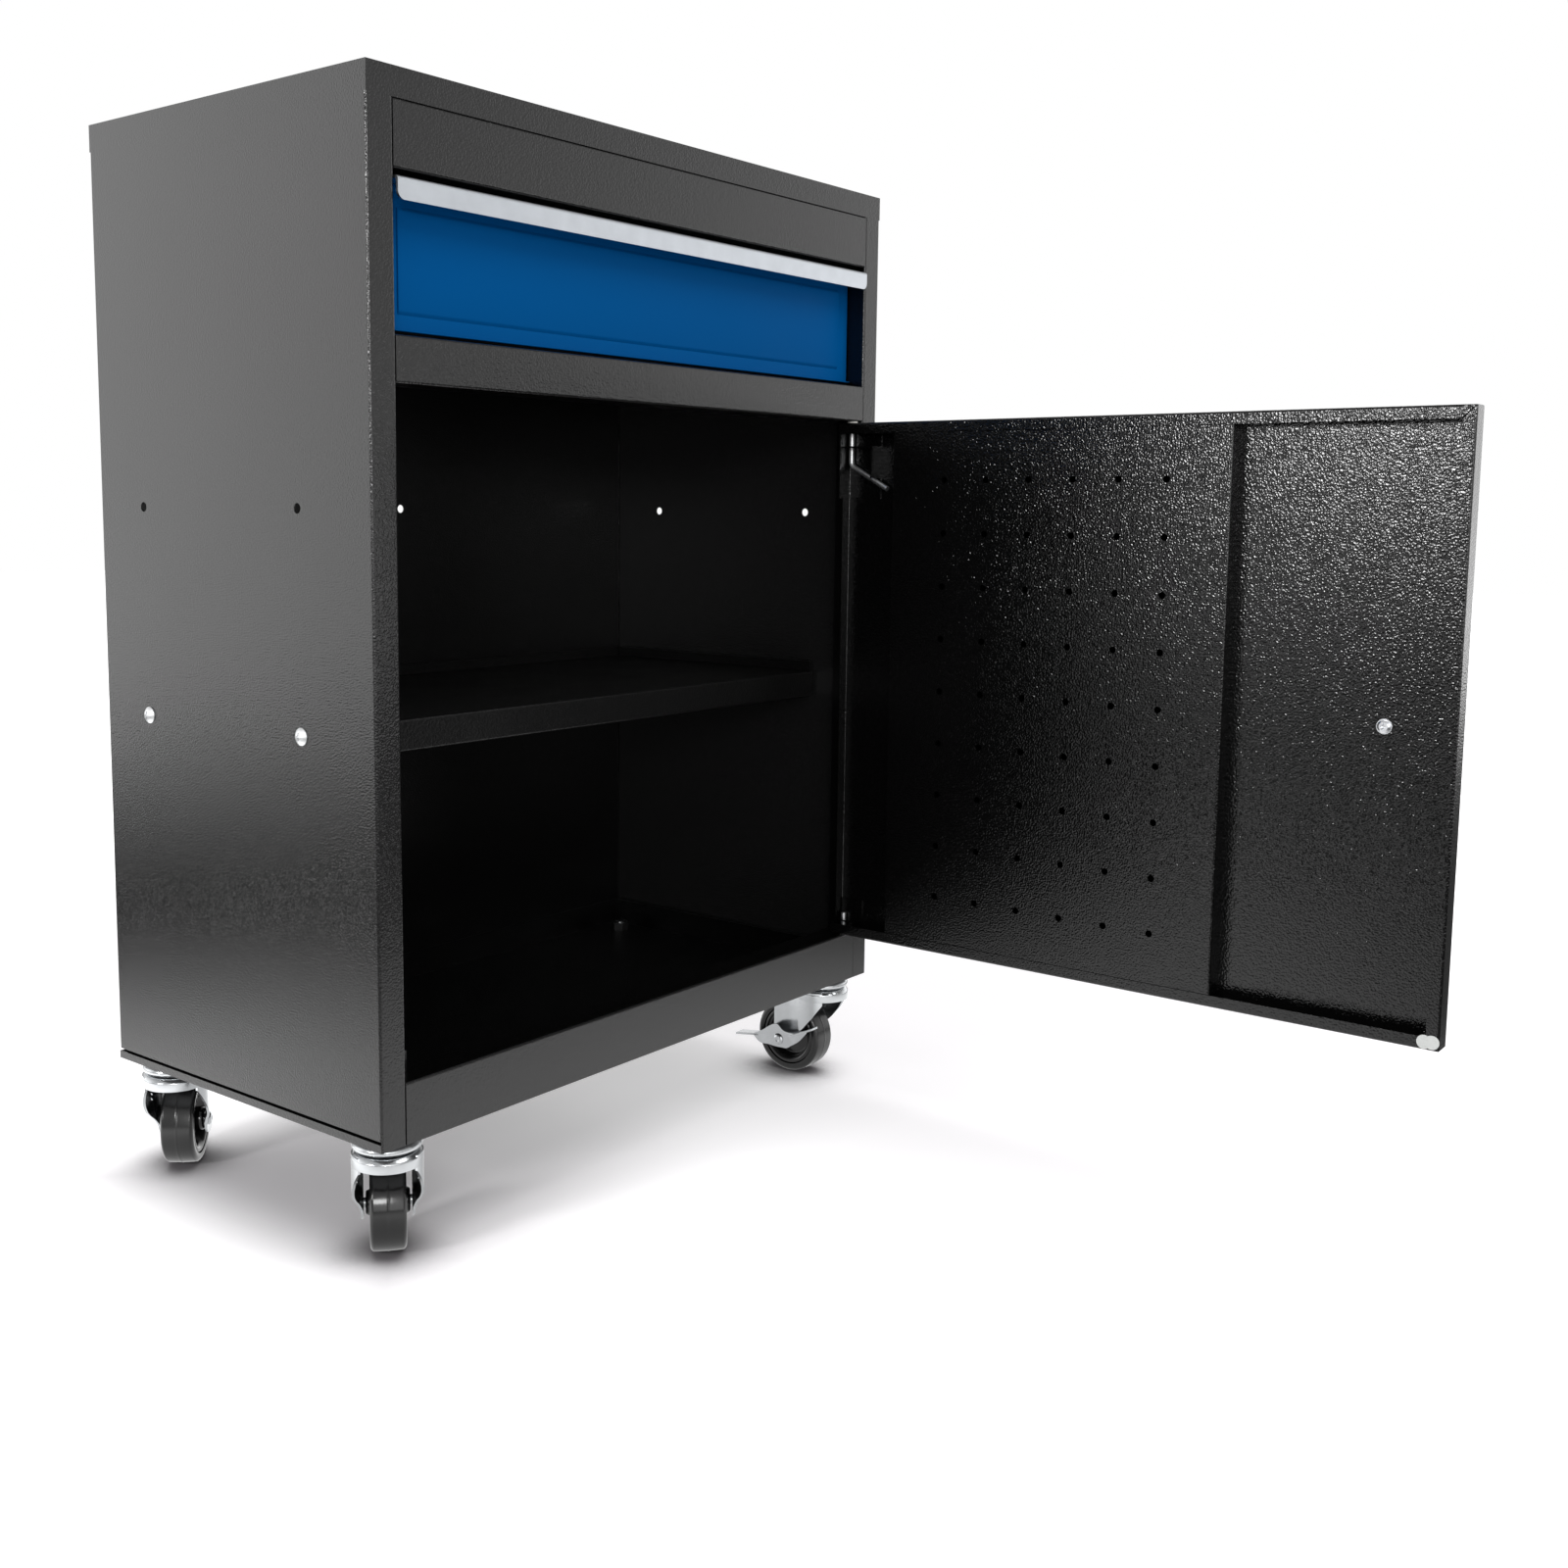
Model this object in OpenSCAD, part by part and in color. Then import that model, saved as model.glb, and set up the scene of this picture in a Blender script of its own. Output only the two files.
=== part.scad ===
// Roller tool cabinet: a sheet-steel cupboard on four swivel casters, with one
// shallow drawer over a single hinged door. The door stands open at a right
// angle. Sizes are millimetres, +Z is up, the origin is on the floor under the
// middle of the cabinet and the front faces -Y.

/* [Cabinet body] */
// Overall width of the body
body_w = 616; // [560:2:700]
// Overall depth of the body, front face to rear face
body_d = 330; // [310:2:420]
// Height of the body from its underside to the top rim
body_h = 748; // [720:2:860]
// Thickness of the steel sheet
sheet_t = 1; // [0.8:0.1:1.2]
// Inside radius of the folded sheet
bend_r = 1; // [0.6:0.1:1.5]
// Width of the front face of each corner post
post_face = 23; // [20:1:32]
// Depth of the return behind each post and rail
return_d = 29; // [27:1:36]
// Height of the gap line under the side walls
wall_lift = 8.5; // [7.5:0.5:12]
// Width of the rear flanges of the side walls
rear_flange = 12; // [8:1:20]
// Diameter of the holes in the side and back walls
wall_hole_d = 7.5; // [5:0.5:9]
// Height of the wall holes above the underside of the body
wall_hole_z = 453.7; // [420:1:500]
// Distance from the front face to the front wall holes
wall_hole_y = 81; // [75:1:90]
// Distance between the front and rear wall holes
wall_hole_pitch = 190; // [170:2:200]

/* [Bottom pan] */
// Height of the outer rim of the pan
pan_rim_h = 6; // [5:0.5:7]
// Height of the upstand inside the walls
pan_upstand_h = 26; // [18:1:32]
// Distance of the upstand behind the side walls
pan_groove_d = 5; // [3:0.5:8]

/* [Front rails] */
// Height of the rail below the door
bottom_rail_h = 46; // [36:1:60]
// Height of the rail between door and drawer
cross_rail_h = 33; // [26:1:40]
// Height of the drawer's opening between cross rail and top rail
drawer_open_h = 109.5; // [104:0.5:115]
// Height of the rail above the drawer
top_rail_h = 46; // [36:1:60]
// Depth of the flanges of the top rail
top_rail_d = 25; // [16:1:27]
// Gap between a closed door and its upright stop
stop_gap = 1.5; // [1.45:0.05:2]

/* [Top cover] */
// Height of the top cover
cover_h = 20.5; // [16:0.5:30]
// Width of the raised rim round the top
cover_rim = 12; // [8:1:20]
// Depth of the tray in the top
cover_recess = 11; // [6:0.5:13]
// Depth of the skirt inside the walls
cover_skirt = 16; // [10:1:24]
// Thickness of the ribbed mat
mat_t = 4; // [3:0.5:5]
// Distance between the ribs of the mat
mat_rib_pitch = 12; // [8:1:20]

/* [Shelf] */
// Height of the middle of the shelf screws
shelf_screw_z = 291; // [240:1:340]
// Distance from the front face to the shelf lip
shelf_front = 66; // [55:1:72]
// Height of the shelf's front lip
shelf_lip_h = 24.5; // [14:0.5:35]
// Height of the upturned edges of the shelf
shelf_upturn = 10; // [6:0.5:20]
// Diameter of the truss heads on the walls
truss_d = 13; // [11:0.5:15]
// Across-flats size of the nuts
nut_af = 10; // [9.5:0.5:10]
// Thickness of the nuts
nut_t = 5; // [4:0.5:6]
// Diameter of the body screws
screw_d = 6; // [5:0.5:6]

/* [Drawer] */
// Gap below the drawer front
drawer_rise = 8.5; // [6:0.5:10]
// Height from that edge to the top of the drawer front
drawer_front_h = 94.5; // [80:0.5:94.5]
// Distance of the drawer front behind the front face
drawer_inset = 18.5; // [14:0.5:20]
// Side gap between the drawer front and the posts
drawer_gap = 1.5; // [1.2:0.1:3]
// Height of the drawer box
box_h = 66; // [50:1:70]
// Length of the drawer box
box_len = 280; // [200:5:280]
// Thickness of one complete slide
slide_w = 12.7; // [12:0.1:14]
// Height of the outer slide member
slide_h = 45.6; // [40:0.2:46]
// Length of the slide members
slide_len = 286; // [240:2:286]
// Play between two nested slide members
slide_play = 0.4; // [0.3:0.05:0.6]
// Height of the front lip of the handle strip
strip_h = 16; // [12:1:22]
// Thickness of the handle strip
strip_t = 2; // [1.5:0.5:3]
// Distance the handle strip stands in front of the posts
strip_proud = 3; // [2.5:0.5:8]

/* [Door] */
// Angle of the open door from its closed position
door_open = 90; // [0:1:115]
// Side gap between the door and the posts
door_gap = 2; // [1.5:0.5:3]
// Height gap above and below the door
door_rise = 2; // [1.5:0.5:3]
// Thickness of the door
door_t = 20; // [18:0.5:20.5]
// Width of the lips behind the door
door_lip = 10; // [7:0.5:14]
// Depth of the flange on the hinge side
hinge_flange = 11.5; // [8:0.5:14]
// Distance of the hinge line from the right post
hinge_in = 9; // [8.5:0.5:10]
// Distance of the hinge line behind the front face
hinge_back = 5.2; // [5:0.1:5.8]
// Diameter of the hinge pins
pin_d = 5; // [4:0.5:5]
// Radial play of the hinge pins in their holes
pin_play = 0.075; // [0.03:0.005:0.1]
// Width of the perforated panel
peg_w = 320; // [240:2:340]
// Distance between hole columns
peg_pitch_x = 42.2; // [36:0.2:46]
// Distance between hole rows
peg_pitch_z = 47.8; // [40:0.2:50]
// Diameter of the panel's holes
peg_hole_d = 6; // [4:0.5:9]
// Distance from the door's free edge to the knob
knob_in = 59; // [50:1:110]
// Diameter of the knob
knob_d = 30; // [22:1:36]
// Height of the knob
knob_h = 24; // [20:1:30]
// Distance the upper pin can be pulled down
pin_travel = 12; // [9:0.5:12]

/* [Casters] */
// Height of the casters from the floor to the body
caster_h = 102; // [102:1:110]
// Distance from the swivel line to the body's edges
caster_inset = 31; // [31:1:40]
// Diameter of the threaded stem
stem_d = 10; // [8:0.5:12]
// Across-flats size of the stem nut
stem_nut_af = 16; // [14:1:18]
// Thickness of the stem nut
stem_nut_t = 8; // [6:0.5:8]
// Radius of the swivel crown
crown_r = 26.5; // [24:0.5:26.5]
// Trail of the axle behind the swivel line
trail = 30.7; // [26:0.1:31]
// Radius of the wheel
wheel_r = 36.4; // [32:0.2:37]
// Width of the tread
tread_w = 27.2; // [24:0.2:28]
// Radius of the wheel core under the tyre
core_r = 29; // [26:0.5:30]
// Diameter of the wheel axle
axle_d = 8; // [6:0.5:8]
// Radial play of axles and swivel pins
axle_play = 0.05; // [0.02:0.01:0.08]
// Inner distance from the wheel's middle to a fork leg
leg_in = 17.5; // [17:0.1:18]
// Thickness of the fork
leg_t = 2.5; // [2:0.1:2.5]
// Thickness of the brake pedal
pedal_t = 2; // [1.6:0.1:2.2]
// Direction the front left wheel trails to
head_fl = 50.2; // [0:0.1:360]
// Direction the rear left wheel trails to
head_rl = 43; // [0:0.1:360]
// Direction the front right wheel trails to
head_fr = 91.4; // [0:0.1:360]
// Direction the rear right wheel trails to
head_rr = 70; // [0:0.1:360]

/* [Hidden] */
$fn = 48;

half_w = body_w / 2;
open_x = half_w - post_face;
wall_in = half_w - sheet_t;
rear_in = body_d - sheet_t;
cover_z = body_h - cover_h;
top_rail_z = cover_z - top_rail_h;
cross_rail_z = top_rail_z - drawer_open_h - cross_rail_h;
mid_t = sheet_t / 2;
hem = 6;
skin_t = sheet_t;
cut = 1;

// Drawer sizes that follow from the opening and the slides
drawer_half = open_x - drawer_gap;
drawer_z = cross_rail_z + cross_rail_h + drawer_rise;
drawer_top = drawer_z + drawer_front_h;
slide_face = open_x - 2;
box_half = slide_face - slide_w;
box_z = drawer_z + 3.5;
slide_front = return_d + 1;
slide_z = box_z + box_h / 2;
bracket_half = slide_h * 0.61;
bracket_flange = slide_h / 3;
member_t = 1.2;
front_return = slide_w * 1.1;

// Door sizes in its closed position
hinge_x = open_x - hinge_in;
door_right = hinge_x + 6;
door_left = -open_x + door_gap;
door_bottom = bottom_rail_h + door_rise;
door_top = cross_rail_z - door_rise;
door_mid_z = (door_bottom + door_top) / 2;
peg_right = hinge_x - 56;
peg_mid_x = peg_right - peg_w / 2;
peg_bottom = door_bottom + door_lip + 0.5;
peg_top = door_top - door_lip - 0.5;
pin_hole_d = pin_d + 2 * pin_play;
ear_z = door_top - 23;
bracket_x = hinge_x - 31;
knob_x = door_left + knob_in;

// Caster sizes below the underside of the body
axle_z = wheel_r - caster_h;
crown_top = -11.4;
crown_rim = 11.3;
cup_z = -9;
crown_t = 2;
leg_out = leg_in + leg_t;
leg_end_r = 1.46 * axle_d;
leg_rear = trail + leg_end_r;
axle_hole = axle_d / 2 + axle_play;
axle_head_t = 0.25 * axle_d;
stem_hole_d = stem_d + 2 * axle_play;
pedal_in = crown_r + 0.8;
pedal_pad_w = 0.38 * crown_r;

function dir(p, q) = (q - p) / norm(q - p);
function turn(path, i) =
    let (a = dir(path[i - 1], path[i]), b = dir(path[i], path[i + 1]))
    atan2(a[0] * b[1] - a[1] * b[0], a * b);

// Moves a part from the body's own frame (front face y 0, underside z 0)
module on_floor() translate([0, -body_d / 2, caster_h]) children();

// Makes the same part on the left and the right
module both_sides() {
    children();
    mirror([1, 0, 0]) children();
}

// Round edge of one fold, between the straight runs that leave point p
module bend(p, da, db, rc, t) {
    half = acos(max(-1, min(1, da * db))) / 2;
    mid = dir([0, 0], da + db);
    c = p + mid * rc / sin(half);
    reach = 3 * (rc + t);
    intersection() {
        translate(c) difference() {
            circle(rc + t / 2);
            circle(rc - t / 2);
        }
        polygon([
            c,
            c + reach * dir(c, p + da * rc / tan(half)),
            c - reach * mid,
            c + reach * dir(c, p + db * rc / tan(half))
        ]);
    }
}

// Cross section of a folded sheet along the middle of its thickness
module fold(path, t = sheet_t, r = bend_r) {
    last = len(path) - 1;
    rc = r + t / 2;
    for (i = [0 : last - 1]) {
        d = dir(path[i], path[i + 1]);
        l0 = i == 0 ? 0 : rc * tan(abs(turn(path, i)) / 2);
        l1 = i == last - 1 ? 0 : rc * tan(abs(turn(path, i + 1)) / 2);
        translate(path[i] + d * l0)
            rotate(atan2(d[1], d[0]))
                translate([0, -t / 2])
                    square([norm(path[i + 1] - path[i]) - l0 - l1, t]);
    }
    for (i = [1 : last - 1])
        bend(path[i], dir(path[i], path[i - 1]), dir(path[i], path[i + 1]), rc, t);
}

// Runs a y-z section along X between two places
module along_x(x0, x1) translate([x0, 0, 0]) rotate([90, 0, 90]) linear_extrude(x1 - x0) children();

// Runs an x-z section along Y between two places
module along_y(y0, y1) translate([0, y1, 0]) rotate([90, 0, 0]) linear_extrude(y1 - y0) children();

// Block between two corners
module block(a, b) translate(a) cube(b - a);

module hole_x(x, y, z, d) translate([x - 10, y, z]) rotate([0, 90, 0]) cylinder(h = 20, d = d);

module hole_y(x, y, z, d) translate([x, y - 10, z]) rotate([-90, 0, 0]) cylinder(h = 20, d = d);

module hole_z(x, y, z, d) translate([x, y, z - 10]) cylinder(h = 20, d = d);

// Folded side wall with its front post and rear flange, on the right
module side_wall() {
    difference() {
        linear_extrude(cover_z) fold([
            [open_x + mid_t, return_d],
            [open_x + mid_t, mid_t],
            [half_w - mid_t, mid_t],
            [half_w - mid_t, body_d - mid_t],
            [half_w - rear_flange, body_d - mid_t]
        ]);
        block([open_x + 5, sheet_t, -cut], [half_w + cut, body_d + cut, wall_lift]);
        block([open_x - cut, sheet_t, -cut], [open_x + 5, return_d + cut, sheet_t]);
        for (y = [wall_hole_y, wall_hole_y + wall_hole_pitch]) {
            hole_x(half_w, y, wall_hole_z, wall_hole_d);
            hole_x(half_w, y, shelf_screw_z, screw_d + 0.6);
        }
    }
}

module side_panel_left() color([0.3, 0.3, 0.31]) on_floor() mirror([1, 0, 0]) side_wall();

module side_panel_right() color([0.3, 0.3, 0.31]) on_floor() side_wall();

// Rear sheet inside the rear flanges
module back_panel() color([0.28, 0.28, 0.29]) on_floor() difference() {
    block([-wall_in + bend_r, rear_in - sheet_t, wall_lift], [wall_in - bend_r, rear_in, cover_z]);
    hole_y(0, rear_in, wall_hole_z, wall_hole_d);
    hole_y(0, rear_in, shelf_screw_z, screw_d + 0.6);
}

// Four-sided upright wall, open inside
module frame_wall(out_x, y0, y1, z0, z1) difference() {
    block([-out_x, y0, z0], [out_x, y1, z1]);
    block([-out_x + sheet_t, y0 + sheet_t, z0 - cut], [out_x - sheet_t, y1 - sheet_t, z1 + cut]);
}

// Tray that closes the body below: floor, low outer rim and set-back upstands
module bottom_pan() color([0.26, 0.26, 0.27]) on_floor() {
    upstand_x = wall_in - pan_groove_d;
    difference() {
        block([-half_w, sheet_t, 0], [half_w, body_d, sheet_t]);
        for (p = places) hole_z(p[0], p[1], 0, stem_d + 0.5);
    }
    difference() {
        block([-half_w, sheet_t, 0], [half_w, body_d, pan_rim_h]);
        block([-wall_in, sheet_t - cut, -cut], [wall_in, rear_in, pan_rim_h + cut]);
    }
    both_sides()
        block([upstand_x - sheet_t, return_d + 2, 0], [upstand_x, rear_in - sheet_t, pan_upstand_h]);
    block([-upstand_x, rear_in - 2 * sheet_t, 0], [upstand_x, rear_in - sheet_t, pan_upstand_h]);
    block([-open_x + 2, sheet_t, 0], [open_x - 2, 2 * sheet_t, pan_upstand_h]);
}

// Channel rail between the posts; its flanges run back from the face
module rail(z0, h, d) along_x(-open_x, open_x) fold([
    [d, z0 + mid_t],
    [mid_t, z0 + mid_t],
    [mid_t, z0 + h - mid_t],
    [d, z0 + h - mid_t]
]);

// Rail below the door with the lower hinge hole and the lanced door stop
module bottom_rail() color([0.3, 0.3, 0.31]) on_floor() {
    stop_y = door_t + stop_gap;
    difference() {
        along_x(-open_x, open_x) fold([
            [mid_t, 0],
            [mid_t, bottom_rail_h - mid_t],
            [return_d - mid_t, bottom_rail_h - mid_t],
            [return_d - mid_t, bottom_rail_h - 14]
        ]);
        hole_z(hinge_x, hinge_back, bottom_rail_h, pin_hole_d);
    }
    block([door_left + 3, stop_y, bottom_rail_h], [door_left + 17, stop_y + sheet_t, bottom_rail_h + 15]);
}

// Rail between door and drawer with the upper hinge hole
module cross_rail() color([0.3, 0.3, 0.31]) on_floor() difference() {
    rail(cross_rail_z, cross_rail_h, return_d);
    hole_z(hinge_x, hinge_back, cross_rail_z, pin_hole_d);
}

// Fixed rail over the drawer
module top_rail() color([0.3, 0.3, 0.31]) on_floor() rail(top_rail_z, top_rail_h, top_rail_d);

// Cover with a sunk tray, a raised rim and a skirt inside the walls
module top_cover() color([0.3, 0.3, 0.31]) on_floor() {
    tray_z = body_h - cover_recess;
    tray_x = half_w - cover_rim;
    difference() {
        block([-half_w, 0, cover_z], [half_w, body_d, body_h]);
        block([-wall_in, sheet_t, cover_z - cut], [wall_in, rear_in, body_h - sheet_t]);
        block([-tray_x, cover_rim, tray_z], [tray_x, body_d - cover_rim, body_h + cut]);
    }
    frame_wall(tray_x + sheet_t, cover_rim - sheet_t, body_d - cover_rim + sheet_t, tray_z - sheet_t, body_h - mid_t);
    block([-tray_x, cover_rim, tray_z - sheet_t], [tray_x, body_d - cover_rim, tray_z]);
    difference() {
        block([-wall_in, sheet_t, cover_z], [wall_in, rear_in, cover_z + sheet_t]);
        block([-wall_in + sheet_t, top_rail_d, cover_z - cut],
            [wall_in - sheet_t, rear_in - 2 * sheet_t, cover_z + 2 * sheet_t]);
    }
    difference() {
        block([-wall_in, return_d + 1, cover_z - cover_skirt], [wall_in, rear_in - sheet_t, cover_z + mid_t]);
        block([-wall_in + sheet_t, return_d, cover_z - cover_skirt - cut],
            [wall_in - sheet_t, rear_in - 2 * sheet_t, cover_z + cut]);
    }
}

// Mat with raised ribs lying in the tray
module top_mat() color([0.1, 0.1, 0.11]) on_floor() {
    tray_z = body_h - cover_recess;
    x = half_w - cover_rim - 1.5;
    y0 = cover_rim + 1.5;
    y1 = body_d - cover_rim - 1.5;
    ribs = floor((y1 - y0) / mat_rib_pitch);
    first = (y0 + y1 - (ribs - 1) * mat_rib_pitch) / 2;
    block([-x, y0, tray_z], [x, y1, tray_z + mat_t - 1]);
    for (i = [0 : ribs - 1])
        block([-x, first + i * mat_rib_pitch - 2, tray_z + mat_t - 1],
            [x, first + i * mat_rib_pitch + 2, tray_z + mat_t]);
}

// Shelf resting on the nuts, with a front lip and upturned edges
module shelf() color([0.2, 0.2, 0.21]) on_floor() {
    floor_z = shelf_screw_z + nut_af / 2 + mid_t;
    side_x = wall_in - 3 - mid_t;
    rear_y = rear_in - sheet_t - 2 - mid_t;
    along_x(-side_x + mid_t, side_x - mid_t) fold([
        [shelf_front + 9, floor_z + mid_t - shelf_lip_h + mid_t],
        [shelf_front + mid_t, floor_z + mid_t - shelf_lip_h + mid_t],
        [shelf_front + mid_t, floor_z],
        [rear_y, floor_z],
        [rear_y, floor_z + shelf_upturn]
    ]);
    both_sides() along_y(shelf_front + 3, rear_y - 3) fold([
        [side_x - 6, floor_z],
        [side_x, floor_z],
        [side_x, floor_z + shelf_upturn]
    ]);
}

// Places the screw module at the five shelf fixings, pointing inwards
module shelf_fixings() {
    both_sides()
        for (y = [wall_hole_y, wall_hole_y + wall_hole_pitch])
            translate([half_w, y, shelf_screw_z]) rotate([0, -90, 0]) children();
    translate([0, rear_in, shelf_screw_z]) rotate([90, 0, 0]) rotate(90) children();
}

// Truss-head screws through the walls
module shelf_screws() color([0.75, 0.76, 0.78]) on_floor() shelf_fixings() {
    difference() {
        intersection() {
            translate([0, 0, 5.5]) sphere(d = 18);
            translate([0, 0, -4]) cylinder(h = 4, d = truss_d);
        }
        for (a = [0, 90]) rotate(a) translate([-3, -0.6, -4]) cube([6, 1.2, 1.8]);
    }
    cylinder(h = 12, d = screw_d);
}

module hex_nut(af, t, bore) difference() {
    cylinder(h = t, d = af / cos(30), $fn = 6);
    translate([0, 0, -cut]) cylinder(h = t + 2 * cut, d = bore);
}

// Nuts on the shelf screws, one flat upwards under the shelf
module shelf_nuts() color([0.75, 0.76, 0.78]) on_floor() shelf_fixings()
    translate([0, 0, sheet_t]) rotate(30) hex_nut(nut_af, nut_t, screw_d + 0.1);

// Magnetic catch on the left post, behind the door's free lip
module magnet_catch() color([0.15, 0.15, 0.16]) on_floor() {
    y0 = door_t + 0.4;
    block([-open_x, y0 + 1, door_mid_z - 22], [-open_x + 15, y0 + 13, door_mid_z + 22]);
    block([-open_x + 2, y0, door_mid_z - 18], [-open_x + 5, y0 + 1, door_mid_z + 18]);
    block([-open_x + 8, y0, door_mid_z - 18], [-open_x + 11, y0 + 1, door_mid_z + 18]);
}

// Pressed drawer front with a turned-out bottom edge and side returns
module drawer_front() color([0, 0.31, 0.54]) on_floor() {
    face = drawer_inset + mid_t;
    along_x(-drawer_half, drawer_half) fold([
        [drawer_inset + front_return, drawer_top - mid_t],
        [face, drawer_top - mid_t],
        [face, drawer_z + mid_t],
        [drawer_inset - 4 * sheet_t, drawer_z + mid_t]
    ]);
    both_sides()
        block([drawer_half - sheet_t, face, drawer_z + 3], [drawer_half, drawer_inset + 8, drawer_top - 3]);
}

// Drawer tray with hemmed sides
module drawer_box() color([0.24, 0.24, 0.25]) on_floor() {
    y0 = drawer_inset + sheet_t;
    along_y(y0, y0 + box_len) fold([
        [-box_half + mid_t + hem, box_z + box_h - mid_t],
        [-box_half + mid_t, box_z + box_h - mid_t],
        [-box_half + mid_t, box_z + mid_t],
        [box_half - mid_t, box_z + mid_t],
        [box_half - mid_t, box_z + box_h - mid_t],
        [box_half - mid_t - hem, box_z + box_h - mid_t]
    ]);
    for (y = [y0, y0 + box_len - sheet_t])
        block([-box_half + mid_t, y, box_z + mid_t], [box_half - mid_t, y + sheet_t, box_z + box_h - mid_t]);
}

// Hooked aluminium strip along the top edge of the drawer front
module drawer_handle_strip() color([0.84, 0.86, 0.9]) on_floor() intersection() {
    half = drawer_half + 0.5;
    lip_y = strip_t / 2 - strip_proud;
    web_z = drawer_top + strip_t / 2;
    along_x(-half, half) fold([
        [drawer_inset + front_return, web_z],
        [lip_y, web_z],
        [lip_y, drawer_top + strip_t - strip_h]
    ], strip_t, 1);
    along_y(-strip_proud - cut, body_d) round_strip(half, drawer_top + strip_t - strip_h, 6);
}

// Outline of the strip from the front, lower corners rounded
module round_strip(half, z0, r) {
    translate([-half, z0 + r]) square([2 * half, strip_h + cut]);
    translate([-half + r, z0]) square([2 * half - 2 * r, r + cut]);
    for (s = [-1, 1]) translate([s * (half - r), z0 + r]) circle(r);
}

// Channel that carries a slide from the side wall, on the right
module slide_bracket() along_y(slide_front + 1, slide_front + 1 + slide_len) fold([
    [wall_in - mid_t, slide_z + bracket_half + bracket_flange],
    [wall_in - mid_t, slide_z + bracket_half],
    [slide_face + mid_t, slide_z + bracket_half],
    [slide_face + mid_t, slide_z - bracket_half],
    [wall_in - mid_t, slide_z - bracket_half],
    [wall_in - mid_t, slide_z - bracket_half - bracket_flange]
]);

module slide_bracket_left() color([0.24, 0.24, 0.25]) on_floor() mirror([1, 0, 0]) slide_bracket();

module slide_bracket_right() color([0.24, 0.24, 0.25]) on_floor() slide_bracket();

// Channel of one slide member: web at x, flanges of length w towards -X or +X
module slide_member(x, w, half_h) along_y(slide_front, slide_front + slide_len) fold([
    [x + w, slide_z + half_h - member_t / 2],
    [x, slide_z + half_h - member_t / 2],
    [x, slide_z - half_h + member_t / 2],
    [x + w, slide_z - half_h + member_t / 2]
], member_t, 0.6);

module slide_outer() slide_member(slide_face - member_t / 2, 2.5 * member_t - slide_w, slide_h / 2);

module slide_middle() slide_member(slide_face - 1.6 * member_t, 3.5 * member_t - slide_w,
    slide_h / 2 - member_t - slide_play);

module slide_inner() slide_member(box_half + member_t / 2, slide_w - 4 * member_t,
    slide_h / 2 - 2 * member_t - 2 * slide_play);

module slide_outer_left() color([0.7, 0.71, 0.73]) on_floor() mirror([1, 0, 0]) slide_outer();

module slide_outer_right() color([0.7, 0.71, 0.73]) on_floor() slide_outer();

module slide_middle_left() color([0.7, 0.71, 0.73]) on_floor() mirror([1, 0, 0]) slide_middle();

module slide_middle_right() color([0.7, 0.71, 0.73]) on_floor() slide_middle();

module slide_inner_left() color([0.7, 0.71, 0.73]) on_floor() mirror([1, 0, 0]) slide_inner();

module slide_inner_right() color([0.7, 0.71, 0.73]) on_floor() slide_inner();

// Turns a part of the closed door to where the door stands
module hung() on_floor()
    translate([hinge_x, hinge_back, 0])
        rotate(door_open)
            translate([-hinge_x, -hinge_back, 0])
                children();

// Pressed door pan: skin, deep flanges, lips with open mitred corners
module door_skin() color([0.13, 0.13, 0.14]) hung() difference() {
    union() {
        along_x(door_left + mid_t, door_right - mid_t) fold([
            [door_t - mid_t, door_bottom + door_lip],
            [door_t - mid_t, door_bottom + mid_t],
            [mid_t, door_bottom + mid_t],
            [mid_t, door_top - mid_t],
            [door_t - mid_t, door_top - mid_t],
            [door_t - mid_t, door_top - door_lip]
        ]);
        translate([0, 0, door_bottom + mid_t]) linear_extrude(door_top - door_bottom - sheet_t) fold([
            [door_left + door_lip, door_t - mid_t],
            [door_left + mid_t, door_t - mid_t],
            [door_left + mid_t, mid_t],
            [door_left + 8, mid_t]
        ]);
        translate([0, 0, door_bottom + mid_t]) linear_extrude(door_top - door_bottom - sheet_t) fold([
            [door_right - 8, mid_t],
            [door_right - mid_t, mid_t],
            [door_right - mid_t, hinge_flange]
        ]);
    }
    for (m = [[door_bottom, 45], [door_top, -45]])
        translate([door_left, door_t + cut, m[0]]) rotate([90, 0, 0]) rotate(m[1])
            translate([-cut, -sheet_t / 2, 0]) cube([2 * door_lip, sheet_t, sheet_t + cut]);
    for (z = [door_bottom, door_top]) hole_z(hinge_x, hinge_back, z, pin_hole_d);
    hole_y(knob_x, 0, door_mid_z, 5.4);
}

// Raised panel with rows of tool holes
module door_peg_panel() color([0.13, 0.13, 0.14]) hung() difference() {
    translate([0, 0, peg_bottom]) linear_extrude(peg_top - peg_bottom) fold([
        [peg_right - peg_w, skin_t],
        [peg_right - peg_w, door_t - mid_t],
        [peg_right, door_t - mid_t],
        [peg_right, skin_t]
    ]);
    for (i = [-2.5 : 2.5], j = [-4 : 4])
        hole_y(peg_mid_x + i * peg_pitch_x, door_t, door_mid_z + j * peg_pitch_z, peg_hole_d);
}

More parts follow.
